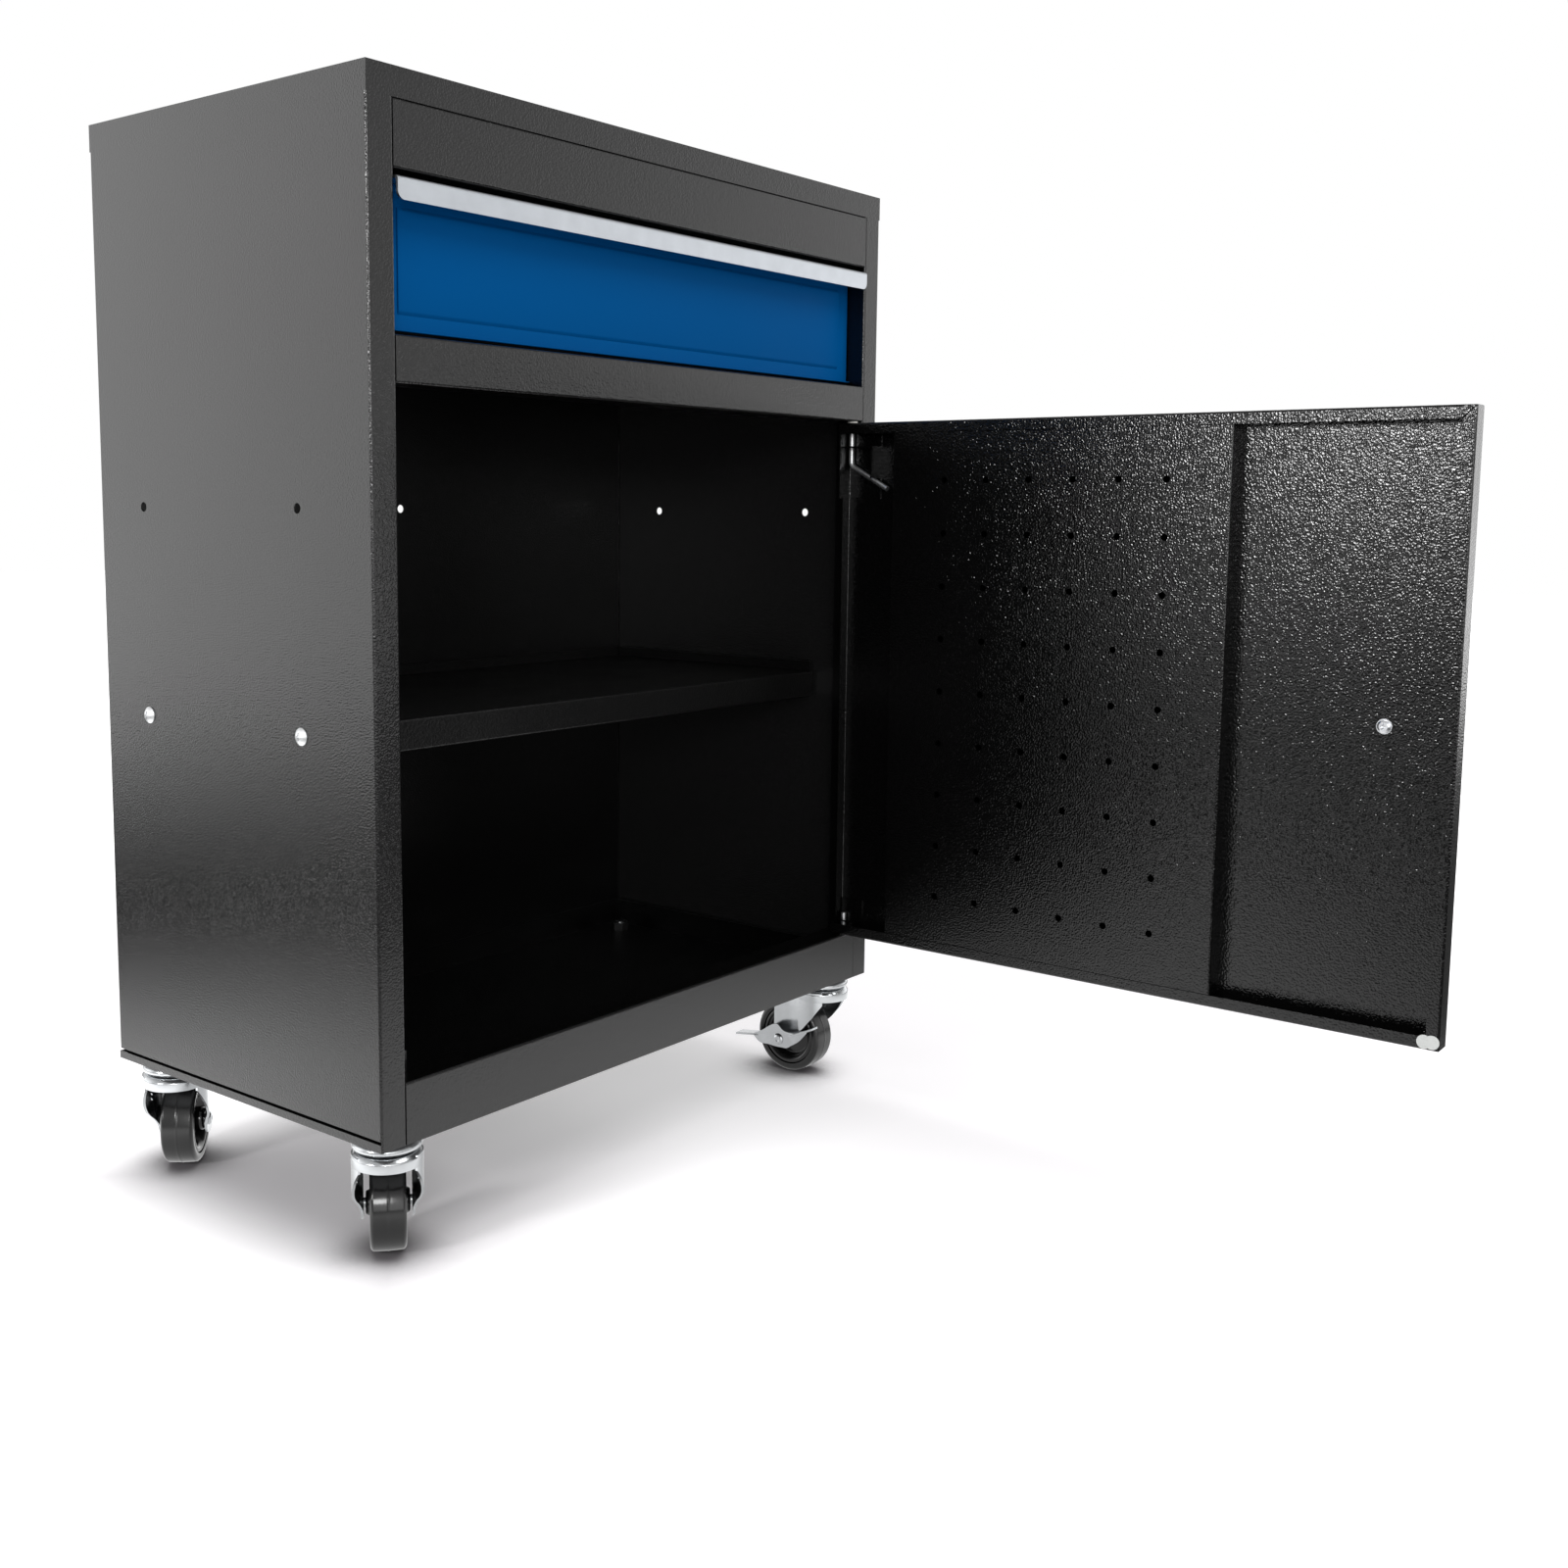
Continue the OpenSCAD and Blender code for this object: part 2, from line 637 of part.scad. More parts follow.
// Welded bracket that guides the upper hinge pin
module door_top_bracket() color([0.2, 0.2, 0.21]) hung() {
    side_x = door_right - sheet_t;
    z0 = ear_z - 47;
    translate([0, 0, z0]) linear_extrude(door_top - 3 - z0) fold([
        [bracket_x, skin_t + 0.6],
        [side_x - 0.6, skin_t + 0.6],
        [side_x - 0.6, door_t - sheet_t]
    ], 1.2);
    block([bracket_x, skin_t, ear_z - 28], [bracket_x + 1.5, door_t - 2, ear_z + 1.5]);
    difference() {
        block([bracket_x, skin_t, ear_z], [side_x - bend_r, door_t - 2.5, ear_z + 1.5]);
        hole_z(hinge_x, hinge_back, ear_z, pin_hole_d);
    }
}

// Angle welded behind the lower corner that holds the fixed pin
module door_bottom_bracket() color([0.2, 0.2, 0.21]) hung() {
    z0 = door_bottom + 12;
    side_x = door_right - sheet_t;
    block([side_x - 24, skin_t, z0], [side_x - bend_r, skin_t + 1.5, z0 + 20]);
    difference() {
        block([side_x - 24, skin_t, z0], [side_x - bend_r, door_t - 5, z0 + 1.5]);
        hole_z(hinge_x, hinge_back, z0, pin_hole_d);
    }
}

// Sliding hinge pin with a bent tail to pull it down
module top_hinge_pin() color([0.78, 0.79, 0.81]) hung() {
    bend_c = 6;
    slope = 63;
    run = 48.6;
    short = bend_c * tan(slope / 2);
    top = cross_rail_z + 8;
    knee_z = ear_z - 16;
    translate([hinge_x, hinge_back, knee_z]) rotate(175) {
        translate([0, 0, short]) cylinder(h = top - knee_z - short, d = pin_d);
        translate([0, 0, top - knee_z]) cylinder(h = 1, d1 = pin_d, d2 = pin_d - 2);
        translate([bend_c, 0, short]) rotate([90, 0, 0]) intersection() {
            rotate_extrude() translate([bend_c, 0]) circle(d = pin_d);
            translate([0, 0, -pin_d]) linear_extrude(2 * pin_d) polygon([
                [0, 0],
                [-3 * bend_c, 0],
                [-3 * bend_c, -3 * bend_c * tan(slope / 2)],
                [-3 * bend_c * cos(slope), -3 * bend_c * sin(slope)]
            ]);
        }
        rotate([0, 180 - slope, 0]) translate([0, 0, short - 0.2])
            cylinder(h = run - short, d = pin_d - 0.1);
    }
}

// Fixed pin in the lower bracket
module bottom_hinge_pin() color([0.78, 0.79, 0.81]) hung()
    translate([hinge_x, hinge_back, bottom_rail_h - 9])
        cylinder(h = door_bottom + 18 - bottom_rail_h + 9, d = pin_d);

// Spacer washers above and below the door
module hinge_washers() color([0.8, 0.8, 0.78]) hung()
    for (z = [bottom_rail_h, door_top])
        translate([hinge_x, hinge_back, z]) difference() {
            cylinder(h = door_rise, d = 10);
            translate([0, 0, -cut]) cylinder(h = door_rise + 2 * cut, d = pin_hole_d);
        }

// Turned pull knob on the outside
module door_knob() color([0.8, 0.81, 0.83]) hung()
    translate([knob_x, 0, door_mid_z]) rotate([90, 0, 0]) difference() {
        rotate_extrude() polygon([
            [0, 0],
            [8, 0],
            [8, 2],
            [6, 4],
            [6, knob_h * 0.45],
            [knob_d / 2 - 2, knob_h * 0.6],
            [knob_d / 2, knob_h * 0.7],
            [knob_d / 2, knob_h - 3],
            [knob_d / 2 - 3, knob_h],
            [0, knob_h]
        ]);
        translate([0, 0, -cut]) cylinder(h = 14 + cut, d = 5.1);
    }

// Cross-slot screw with its washer, holding the knob
module door_knob_screw() color([0.75, 0.76, 0.78]) hung()
    translate([knob_x, skin_t, door_mid_z]) rotate([-90, 0, 0]) difference() {
        union() {
            cylinder(h = 1, d = 12);
            translate([0, 0, 1]) cylinder(h = 1.6, d = 10);
            translate([0, 0, 2.6]) cylinder(h = 1, d1 = 10, d2 = 7);
            translate([0, 0, -13]) cylinder(h = 13.5, d = 5);
        }
        for (a = [0, 90]) rotate(a) translate([-2.5, -0.6, 2]) cube([5, 1.2, 3]);
    }

// Clear discs stuck on the free lower corner of the lips
module door_bumpers() color([0.8, 0.82, 0.8, 0.6]) hung()
    translate([door_left + 11, door_t, door_bottom + 6.5]) rotate([-90, 0, 0]) {
        cylinder(h = 0.7, d = 11);
        translate([-6, -0.6, 0.7]) cylinder(h = 0.7, d = 11);
    }

// Swivel places: front left, front right, rear left, rear right
places = [
    [-half_w + caster_inset, caster_inset],
    [half_w - caster_inset, caster_inset],
    [-half_w + caster_inset, body_d - caster_inset],
    [half_w - caster_inset, body_d - caster_inset]
];

// Puts a caster part under its corner; X points the way the wheel trails
module under(i, heading) on_floor()
    translate([places[i][0], places[i][1], 0]) rotate(heading) children();

// Fixed upper half of the swivel race, pressed against the pan
module caster_cup(i) color([0.82, 0.83, 0.85]) under(i, 0) difference() {
    rotate_extrude() polygon([
        [0, 0],
        [crown_r * 0.66, 0],
        [crown_r * 0.87, -2],
        [crown_r * 0.98, cup_z + 2.5],
        [crown_r * 0.98, cup_z],
        [crown_r * 0.85, cup_z],
        [crown_r * 0.85, cup_z + 2],
        [0, cup_z + 2]
    ]);
    hole_z(0, 0, 0, stem_hole_d);
}

module caster_cup_fl() caster_cup(0);

module caster_cup_fr() caster_cup(1);

module caster_cup_rl() caster_cup(2);

module caster_cup_rr() caster_cup(3);

// Threaded stems that carry the swivels, riveted below the crowns
module caster_stems() color([0.7, 0.71, 0.73])
    for (i = [0 : 3]) under(i, 0) {
        translate([0, 0, crown_top - crown_t - 3.3]) cylinder(h = 3, d = stem_d * 1.8);
        translate([0, 0, crown_top - crown_t - 1])
            cylinder(h = sheet_t + stem_nut_t + 1 - crown_top + crown_t + 1, d = stem_d);
    }

// Nuts on the stems, on the floor of the pan
module caster_nuts() color([0.3, 0.3, 0.31]) on_floor()
    for (p = places) translate([p[0], p[1], sheet_t]) hex_nut(stem_nut_af, stem_nut_t, stem_hole_d);

// Side outline of a fork leg: distance behind the swivel line, height
leg_outline = [
    [-0.505 * trail, crown_top - 2],
    [-0.505 * trail, 0.386 * axle_z],
    [-0.208 * trail, 0.59 * axle_z],
    [0.111 * trail, 0.762 * axle_z],
    [0.397 * trail, 0.887 * axle_z],
    [trail - 0.78 * leg_end_r, axle_z - 0.62 * leg_end_r],
    [trail, axle_z],
    [leg_rear, axle_z],
    [leg_rear, 0.573 * axle_z],
    [1.107 * trail, 0.335 * axle_z],
    [0.8 * trail, crown_top - 2]
];

// One leg seen from above: part of the crown's ring, a slant and a straight rear
module leg_plan() {
    crease = [0.72 * trail, leg_out];
    meet = atan2(crease[1], crease[0]) + acos(crown_r / norm(crease));
    n = [cos(meet), sin(meet)];
    intersection() {
        difference() {
            circle(crown_r);
            circle(crown_r - leg_t);
        }
        polygon([[0, 0], 2 * crown_r * n, [-2 * crown_r, 2 * crown_r], [-2 * crown_r, 0]]);
    }
    polygon([crown_r * n, crease, crease - leg_t * n, (crown_r - leg_t) * n]);
    translate([crease[0] - leg_t / 3, leg_in]) square([leg_rear - crease[0] + leg_t / 3, leg_t]);
}

// Pressed swivel fork: crown dish and two legs that narrow towards the axle
module fork(i, heading) color([0.84, 0.85, 0.87]) under(i, heading) difference() {
    union() {
        rotate_extrude() polygon([
            [0, crown_top],
            [crown_r - 1.5, crown_top],
            [crown_r, crown_top - 1.5],
            [crown_r, crown_top - crown_rim],
            [crown_r - leg_t, crown_top - crown_rim],
            [crown_r - leg_t, crown_top - crown_t],
            [0, crown_top - crown_t]
        ]);
        both_legs() intersection() {
            translate([0, 0, axle_z - 2 * leg_end_r]) linear_extrude(crown_top - axle_z + 2 * leg_end_r) leg_plan();
            along_y(0, 2 * crown_r) union() {
                polygon(leg_outline);
                translate([trail, axle_z]) circle(leg_end_r);
            }
        }
    }
    hole_z(0, 0, crown_top, stem_hole_d);
    translate([trail, 0, axle_z]) rotate([90, 0, 0]) cylinder(h = 4 * crown_r, r = axle_hole, center = true);
}

module both_legs() {
    children();
    mirror([0, 1, 0]) children();
}

module fork_fl() fork(0, head_fl);

module fork_fr() fork(1, head_fr);

module fork_rl() fork(2, head_rl);

module fork_rr() fork(3, head_rr);

// Riveted axle: low heads outside the legs, a spacer where a pedal sits
module axle(i, heading, braked) color([0.75, 0.76, 0.78]) under(i, heading)
    translate([trail, 0, axle_z]) rotate([-90, 0, 0]) {
        far = braked ? pedal_in + pedal_t + 0.3 : leg_out;
        translate([0, 0, -leg_out - axle_head_t]) cylinder(h = axle_head_t, d1 = axle_d, d2 = 1.4 * axle_d);
        translate([0, 0, -leg_out]) cylinder(h = leg_out + far, d = axle_d);
        translate([0, 0, far]) cylinder(h = axle_head_t, d1 = 1.4 * axle_d, d2 = axle_d);
        if (braked) translate([0, 0, leg_out]) cylinder(h = pedal_in - leg_out - 0.3, d = 1.5 * axle_d);
    }

module axle_fl() axle(0, head_fl, false);

module axle_fr() axle(1, head_fr, true);

module axle_rl() axle(2, head_rl, false);

module axle_rr() axle(3, head_rr, true);

// Hub, dished web and rim of the wheel
module wheel_core(i, heading) color([0.12, 0.12, 0.12]) under(i, heading)
    translate([trail, 0, axle_z]) rotate([90, 0, 0]) rotate_extrude() {
        hub_half = leg_in - 1;
        rim_half = tread_w / 2 - 1;
        polygon([
            [axle_hole, -hub_half],
            [0.3 * core_r, -hub_half],
            [0.345 * core_r, -0.85 * hub_half],
            [0.345 * core_r, -0.36 * hub_half],
            [0.72 * core_r, -0.24 * hub_half],
            [0.8 * core_r, -rim_half],
            [core_r, -rim_half],
            [core_r, rim_half],
            [0.8 * core_r, rim_half],
            [0.72 * core_r, 0.24 * hub_half],
            [0.345 * core_r, 0.36 * hub_half],
            [0.345 * core_r, 0.85 * hub_half],
            [0.3 * core_r, hub_half],
            [axle_hole, hub_half]
        ]);
    }

module wheel_core_fl() wheel_core(0, head_fl);

module wheel_core_fr() wheel_core(1, head_fr);

module wheel_core_rl() wheel_core(2, head_rl);

module wheel_core_rr() wheel_core(3, head_rr);

// Solid tyre with rounded shoulders and a moulding line round its middle
module tyre(i, heading) color([0.16, 0.16, 0.17]) under(i, heading)
    translate([trail, 0, axle_z]) rotate([90, 0, 0]) rotate_extrude() {
        line = 0.01 * tread_w;
        shoulder = 0.09 * tread_w;
        face = wheel_r - line;
        translate([core_r, -tread_w / 2]) square([face - shoulder - core_r, tread_w]);
        translate([core_r, -tread_w / 2 + shoulder]) square([face - core_r, tread_w - 2 * shoulder]);
        for (s = [-1, 1]) translate([face - shoulder, s * (tread_w / 2 - shoulder)]) circle(shoulder);
        translate([core_r, -line]) square([wheel_r - core_r, 2 * line]);
    }

module tyre_fl() tyre(0, head_fl);

module tyre_fr() tyre(1, head_fr);

module tyre_rl() tyre(2, head_rl);

module tyre_rr() tyre(3, head_rr);

// Pedal outlines round the axle, in wheel radii: plate, foot pad, release arm
pedal_plate = [
    [0.882, -0.016], [0.712, -0.165], [0.596, -0.231], [0.299, -0.209], [0.085, -0.231], [-0.176, -0.217],
    [-0.401, -0.132], [-0.673, 0.047], [-0.876, 0.28], [-0.898, 0.346], [-0.475, 0.239], [-0.234, 0.247],
    [-0.121, 0.28], [-0.038, 0.36], [0.047, 0.426], [0.176, 0.393], [0.354, 0.283], [0.552, 0.132]
];
pedal_pad = [[0.66, 0.014], [1.437, -0.093], [1.437, -0.148], [0.66, -0.041]];
pedal_arm = [[-0.475, 0.225], [-1.228, 0.577], [-1.245, 0.525], [-0.49, 0.17]];

// Rocking brake pedal on the axle: release arm in front, foot pad behind
module brake_pedal(i, heading) color([0.85, 0.86, 0.88]) under(i, heading)
    translate([trail, 0, axle_z]) difference() {
        union() {
            along_y(pedal_in, pedal_in + pedal_t) polygon(wheel_r * pedal_plate);
            along_y(pedal_in - pedal_pad_w, pedal_in + pedal_t) polygon(wheel_r * pedal_pad);
            along_y(pedal_in, pedal_in + pedal_pad_w) polygon(wheel_r * pedal_arm);
        }
        rotate([90, 0, 0]) cylinder(h = 4 * crown_r, r = axle_hole, center = true);
    }

module brake_pedal_fr() brake_pedal(1, head_fr);

module brake_pedal_rr() brake_pedal(3, head_rr);

side_panel_left();
side_panel_right();
back_panel();
bottom_pan();
bottom_rail();
cross_rail();
top_rail();
top_cover();
top_mat();
shelf();
shelf_screws();
shelf_nuts();
magnet_catch();
drawer_front();
drawer_box();
drawer_handle_strip();
slide_bracket_left();
slide_bracket_right();
slide_outer_left();
slide_outer_right();
slide_middle_left();
slide_middle_right();
slide_inner_left();
slide_inner_right();
door_skin();
door_peg_panel();
door_top_bracket();
door_bottom_bracket();
top_hinge_pin();
bottom_hinge_pin();
hinge_washers();
door_knob();
door_knob_screw();
door_bumpers();
caster_stems();
caster_nuts();
caster_cup_fl();
caster_cup_fr();
caster_cup_rl();
caster_cup_rr();
fork_fl();
fork_fr();
fork_rl();
fork_rr();
axle_fl();
axle_fr();
axle_rl();
axle_rr();
wheel_core_fl();
wheel_core_fr();
wheel_core_rl();
wheel_core_rr();
tyre_fl();
tyre_fr();
tyre_rl();
tyre_rr();
brake_pedal_fr();
brake_pedal_rr();
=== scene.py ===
import math

import bmesh
import bpy
import numpy as np
from mathutils import Matrix, Vector


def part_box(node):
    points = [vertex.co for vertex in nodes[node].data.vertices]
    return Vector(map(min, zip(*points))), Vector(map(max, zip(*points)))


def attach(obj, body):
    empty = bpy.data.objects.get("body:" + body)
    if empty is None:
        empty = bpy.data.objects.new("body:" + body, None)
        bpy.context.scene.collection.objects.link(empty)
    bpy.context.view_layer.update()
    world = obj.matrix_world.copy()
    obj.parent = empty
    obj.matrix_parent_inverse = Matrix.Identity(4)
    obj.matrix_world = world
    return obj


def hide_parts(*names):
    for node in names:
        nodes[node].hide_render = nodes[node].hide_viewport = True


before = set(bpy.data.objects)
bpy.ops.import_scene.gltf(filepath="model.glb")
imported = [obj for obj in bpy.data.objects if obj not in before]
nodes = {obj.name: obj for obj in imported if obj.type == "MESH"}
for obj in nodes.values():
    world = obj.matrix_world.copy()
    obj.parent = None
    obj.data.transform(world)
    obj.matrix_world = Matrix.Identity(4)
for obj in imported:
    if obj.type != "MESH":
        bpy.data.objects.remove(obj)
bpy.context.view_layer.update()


# Camera, lamps and white sweep
# The camera stands low on the left and looks across the open cupboard at the
# inside of the door. Small lamps stand on the left and beside the camera, and a
# broad one hangs in front, above the object.
photo_width = 1600
focal_pixels = 1706.18
centre_x, centre_y = 731.79, 721.73
pan, tilt, roll = (math.radians(a) for a in (51.477, 6.714, 0.496))
camera_place = Vector((-1.0523, -1.0572, 0.5568))
camera_data = bpy.data.cameras.new("camera")
camera_data.sensor_width = 36
camera_data.lens = camera_data.sensor_width * focal_pixels / photo_width
camera_data.shift_x = (photo_width / 2 - centre_x) / photo_width
camera_data.shift_y = (centre_y - photo_width / 2) / photo_width
camera_data.clip_start = 0.05
camera_data.clip_end = 60
camera = bpy.data.objects.new("camera", camera_data)
bpy.context.scene.collection.objects.link(camera)
bpy.context.scene.camera = camera

# Pan turns from +Y towards +X, tilt turns down and roll turns about the line of sight
ahead = Vector((math.sin(pan) * math.cos(tilt), math.cos(pan) * math.cos(tilt), -math.sin(tilt)))
across = Vector((math.cos(pan), -math.sin(pan), 0))
above = across.cross(ahead)
right = across * math.cos(roll) + above * math.sin(roll)
top = above * math.cos(roll) - across * math.sin(roll)
place = Matrix((right, top, -ahead)).transposed().to_4x4()
place.translation = camera_place
camera.matrix_world = place


def lamp(name, at, towards, width, watts):
    """Square area lamp of the given width, aimed from one point at another."""
    data = bpy.data.lights.new(name, "AREA")
    data.energy = watts
    data.size = width
    made = bpy.data.objects.new(name, data)
    made.location = at
    made.rotation_euler = (Vector(towards) - Vector(at)).to_track_quat("-Z", "Y").to_euler()
    bpy.context.scene.collection.objects.link(made)


lamp("lamp_left", at=(-2.7, 0.1, 1.1), towards=(0.3, -0.5, 0.6), width=0.45, watts=24)
lamp("lamp_camera", at=(-2.1, -2.0, 1.1), towards=(0, -0.2, 0.4), width=0.5, watts=14)
lamp("lamp_above", at=(0.5, -2.2, 3.2), towards=(0, -0.1, 0.2), width=1.8, watts=45)


def wire(tree, source, target):
    """Link from an output socket to an input socket."""
    tree.links.new(source, target)


def fill(tree, socket, value):
    """Sets an input to a number or a colour, or links it to an output socket."""
    if isinstance(value, (int, float)):
        socket.default_value = value
    elif isinstance(value, tuple):
        socket.default_value = (*value, 1)
    else:
        wire(tree, value, socket)


def add(tree, kind, **settings):
    """New shader node with its properties set by name."""
    made = tree.nodes.new(kind)
    for key, value in settings.items():
        setattr(made, key, value)
    return made


def ramp(tree, value, span, result):
    """A number that eases from one end of the result to the other while the value
    socket crosses the span."""
    made = add(tree, "ShaderNodeMapRange", interpolation_type="SMOOTHSTEP")
    for key, number in zip(("From Min", "From Max", "To Min", "To Max"), (*span, *result)):
        made.inputs[key].default_value = number
    wire(tree, value, made.inputs["Value"])
    return made.outputs["Result"]


def combine(tree, operation, first, second=0):
    """Sum, product or other operation of two sockets or numbers."""
    made = add(tree, "ShaderNodeMath", operation=operation)
    fill(tree, made.inputs[0], first)
    fill(tree, made.inputs[1], second)
    return made.outputs[0]


def between(tree, factor, low, high):
    """A number that runs from low to high as the factor socket goes from 0 to 1;
    low and high are numbers or sockets."""
    made = add(tree, "ShaderNodeMix", data_type="FLOAT")
    wire(tree, factor, made.inputs["Factor"])
    fill(tree, made.inputs["A"], low)
    fill(tree, made.inputs["B"], high)
    return made.outputs["Result"]


def blend(tree, factor, dark, light):
    """A colour that runs from dark to light as the factor socket goes from 0 to 1;
    dark and light are three numbers or a socket each. A colour mix keeps its two
    colours in sockets 6 and 7 and its result in socket 2."""
    made = add(tree, "ShaderNodeMix", data_type="RGBA")
    wire(tree, factor, made.inputs["Factor"])
    fill(tree, made.inputs[6], dark)
    fill(tree, made.inputs[7], light)
    return made.outputs[2]


# Seen directly the world is white, and it lights the object evenly. Reflections
# find a bright wall on the left that ends in a darker corner, a weaker wall on the
# right and a dark ceiling.
even_light, white = 0.62, 1.0
world = bpy.data.worlds.new("studio")
world.use_nodes = True
bpy.context.scene.world = world
sky = world.node_tree
background = sky.nodes["Background"]
background.inputs["Color"].default_value = (1, 1, 1, 1)
rays = add(sky, "ShaderNodeLightPath")
direction = add(sky, "ShaderNodeTexCoord")
parts = add(sky, "ShaderNodeSeparateXYZ")
wire(sky, direction.outputs["Generated"], parts.inputs[0])
sideways, upwards = parts.outputs["X"], parts.outputs["Z"]
right_wall = ramp(sky, sideways, (0.6, 0.97), (0.8, 1.6))
left_wall = ramp(sky, sideways, (0.2, -0.6), (0.0, 1.4))
left_end = ramp(sky, sideways, (-0.65, -0.9), (0.0, 1.55))
ceiling = ramp(sky, upwards, (0.2, 0.7), (1.0, 0.3))
walls = combine(sky, "SUBTRACT", combine(sky, "ADD", right_wall, left_wall), left_end)
mirrored = combine(sky, "MULTIPLY", walls, ceiling)
lighting = between(sky, rays.outputs["Is Glossy Ray"], even_light, mirrored)
direct = combine(sky, "MAXIMUM", rays.outputs["Is Camera Ray"], rays.outputs["Is Transmission Ray"])
wire(sky, between(sky, direct, lighting, white), background.inputs["Strength"])

# The sweep is a wide sheet of paper. For the camera it glows to white outside the
# object's footprint. Under it the glow is weaker, least on the left, which paints the
# shadow beneath, and in the narrow gaps round a wheel the glow is held back as painted contact shadow.
half_sweep = 12
half_width, half_depth = 0.308, 0.165
paper_shade, paper_white, mirrored_paper = (0.2, 0.19, 0.2), (0.86, 0.837, 0.86), (0.02, 0.02, 0.02)
sweep = half_sweep * np.array([[-1, -1, 0], [1, -1, 0], [1, 1, 0], [-1, 1, 0]], float)
floor_mesh = bpy.data.meshes.new("floor")
floor_mesh.from_pydata(sweep.tolist(), [], [(0, 1, 2, 3)])
floor = bpy.data.objects.new("floor", floor_mesh)
bpy.context.scene.collection.objects.link(floor)
paper = bpy.data.materials.new("white_sweep")
paper.use_nodes = True
floor_mesh.materials.append(paper)
tree = paper.node_tree
surface = tree.nodes["Principled BSDF"]
surface.inputs["Roughness"].default_value = 0.9
surface.inputs["Specular IOR Level"].default_value = 0.0
surface.inputs["Emission Color"].default_value = (1, 1, 1, 1)
rays = add(tree, "ShaderNodeLightPath")
where = add(tree, "ShaderNodeTexCoord")
distance = add(tree, "ShaderNodeVectorMath", operation="LENGTH")
wire(tree, where.outputs["Object"], distance.inputs[0])
away = distance.outputs["Value"]
parts = add(tree, "ShaderNodeSeparateXYZ")
wire(tree, where.outputs["Object"], parts.inputs[0])
sideways, back = parts.outputs["X"], parts.outputs["Y"]
beyond_side = combine(tree, "SUBTRACT", combine(tree, "ABSOLUTE", sideways), half_width)
beyond_front = combine(tree, "SUBTRACT", combine(tree, "ABSOLUTE", back), half_depth)
clear = combine(tree, "MAXIMUM", beyond_side, beyond_front)
contact = add(tree, "ShaderNodeAmbientOcclusion", samples=8)
contact.inputs["Distance"].default_value = 0.06
unshaded = ramp(tree, contact.outputs["AO"], (0.4, 0.97), (0.0, 1.0))
# Painted shadow under the object: the camera's glow is weak under the footprint, least on the left
under = ramp(tree, sideways, (-0.3, 0.15), (0.01, 0.42))
beside = ramp(tree, sideways, (-0.3, 0.3), (0.85, 0.36))
near = between(tree, ramp(tree, clear, (-0.06, 0.1), (0.0, 1.0)), under, beside)
lift = combine(tree, "ADD", near, ramp(tree, away, (0.8, 1.5), (0.0, 0.6)))
lift = combine(tree, "MULTIPLY", lift, unshaded)
lift = combine(tree, "MULTIPLY", rays.outputs["Is Camera Ray"], lift)

# In reflections the sweep only glows: bright round the object, more so towards the
# back and less on the right, dark from a metre out, and bright again as a far ring.
# The cabinet's walls show the dark part as a band above their foot.
footprint = ramp(tree, clear, (-0.04, 0.12), (0.45, 1.0))
round_object = ramp(tree, away, (0.4, 1.25), (1.0, 0.06))
mirrored = combine(tree, "MULTIPLY", footprint, round_object)
mirrored = combine(tree, "MULTIPLY", mirrored, ramp(tree, back, (-0.4, 0.5), (1.3, 2.6)))
ring = combine(tree, "MULTIPLY", ramp(tree, away, (1.7, 2.9), (0.0, 1.8)),
               ramp(tree, back, (0.5, 1.8), (0.0, 1.0)))
ring = combine(tree, "MAXIMUM", ring, ramp(tree, away, (2.4, 7.0), (0.0, 2.0)))
mirrored = combine(tree, "ADD", mirrored, ring)
dimmed = combine(tree, "MULTIPLY", ramp(tree, sideways, (0.5, 1.0), (0.0, 0.65)),
                 ramp(tree, back, (-1.0, -0.2), (0.0, 1.0)))
mirrored = combine(tree, "MULTIPLY", mirrored, combine(tree, "SUBTRACT", 1.0, dimmed))
mirrored = combine(tree, "MULTIPLY", rays.outputs["Is Glossy Ray"], mirrored)
wire(tree, combine(tree, "ADD", lift, mirrored), surface.inputs["Emission Strength"])
# Painted contact shadow: the paper's colour darkens towards paper_shade where something stands within a few
# centimetres, as round a wheel
paper_with_painted_shadow = blend(tree, unshaded, paper_shade, paper_white)
wire(tree, blend(tree, rays.outputs["Is Glossy Ray"], paper_with_painted_shadow, mirrored_paper), surface.inputs["Base Color"])


# Cabinet body
# Walls, posts and rails folded from 1 mm steel sheet and spot welded, under a
# coarse black powder coat. Inside the body the coat is painted darker, as shade.
def group(name, inputs, outputs):
    """Empty shader group; inputs maps each number socket's name to its value."""
    made = bpy.data.node_groups.new(name, "ShaderNodeTree")
    for key, value in inputs.items():
        socket = made.interface.new_socket(key, in_out="INPUT", socket_type="NodeSocketFloat")
        socket.default_value = value
    for key in outputs:
        made.interface.new_socket(key, in_out="OUTPUT", socket_type="NodeSocketFloat")
    return made, made.nodes.new("NodeGroupInput"), made.nodes.new("NodeGroupOutput")


# Powder grain: rounded bumps of one size with a finer noise over them, and the
# paler flecks of its crests
fine_share = 0.03
grain, start, end = group("powder_grain", {"Scale": 600.0, "Fine": 1500.0}, ["Height", "Fleck"])
where = add(grain, "ShaderNodeTexCoord")
bumps = add(grain, "ShaderNodeTexNoise")
bumps.inputs["Detail"].default_value = 0.5
wire(grain, where.outputs["Object"], bumps.inputs["Vector"])
wire(grain, start.outputs["Scale"], bumps.inputs["Scale"])
fine = add(grain, "ShaderNodeTexNoise")
fine.inputs["Detail"].default_value = 3
fine.inputs["Roughness"].default_value = 0.6
wire(grain, where.outputs["Object"], fine.inputs["Vector"])
wire(grain, start.outputs["Fine"], fine.inputs["Scale"])
both = add(grain, "ShaderNodeMath", operation="MULTIPLY_ADD")
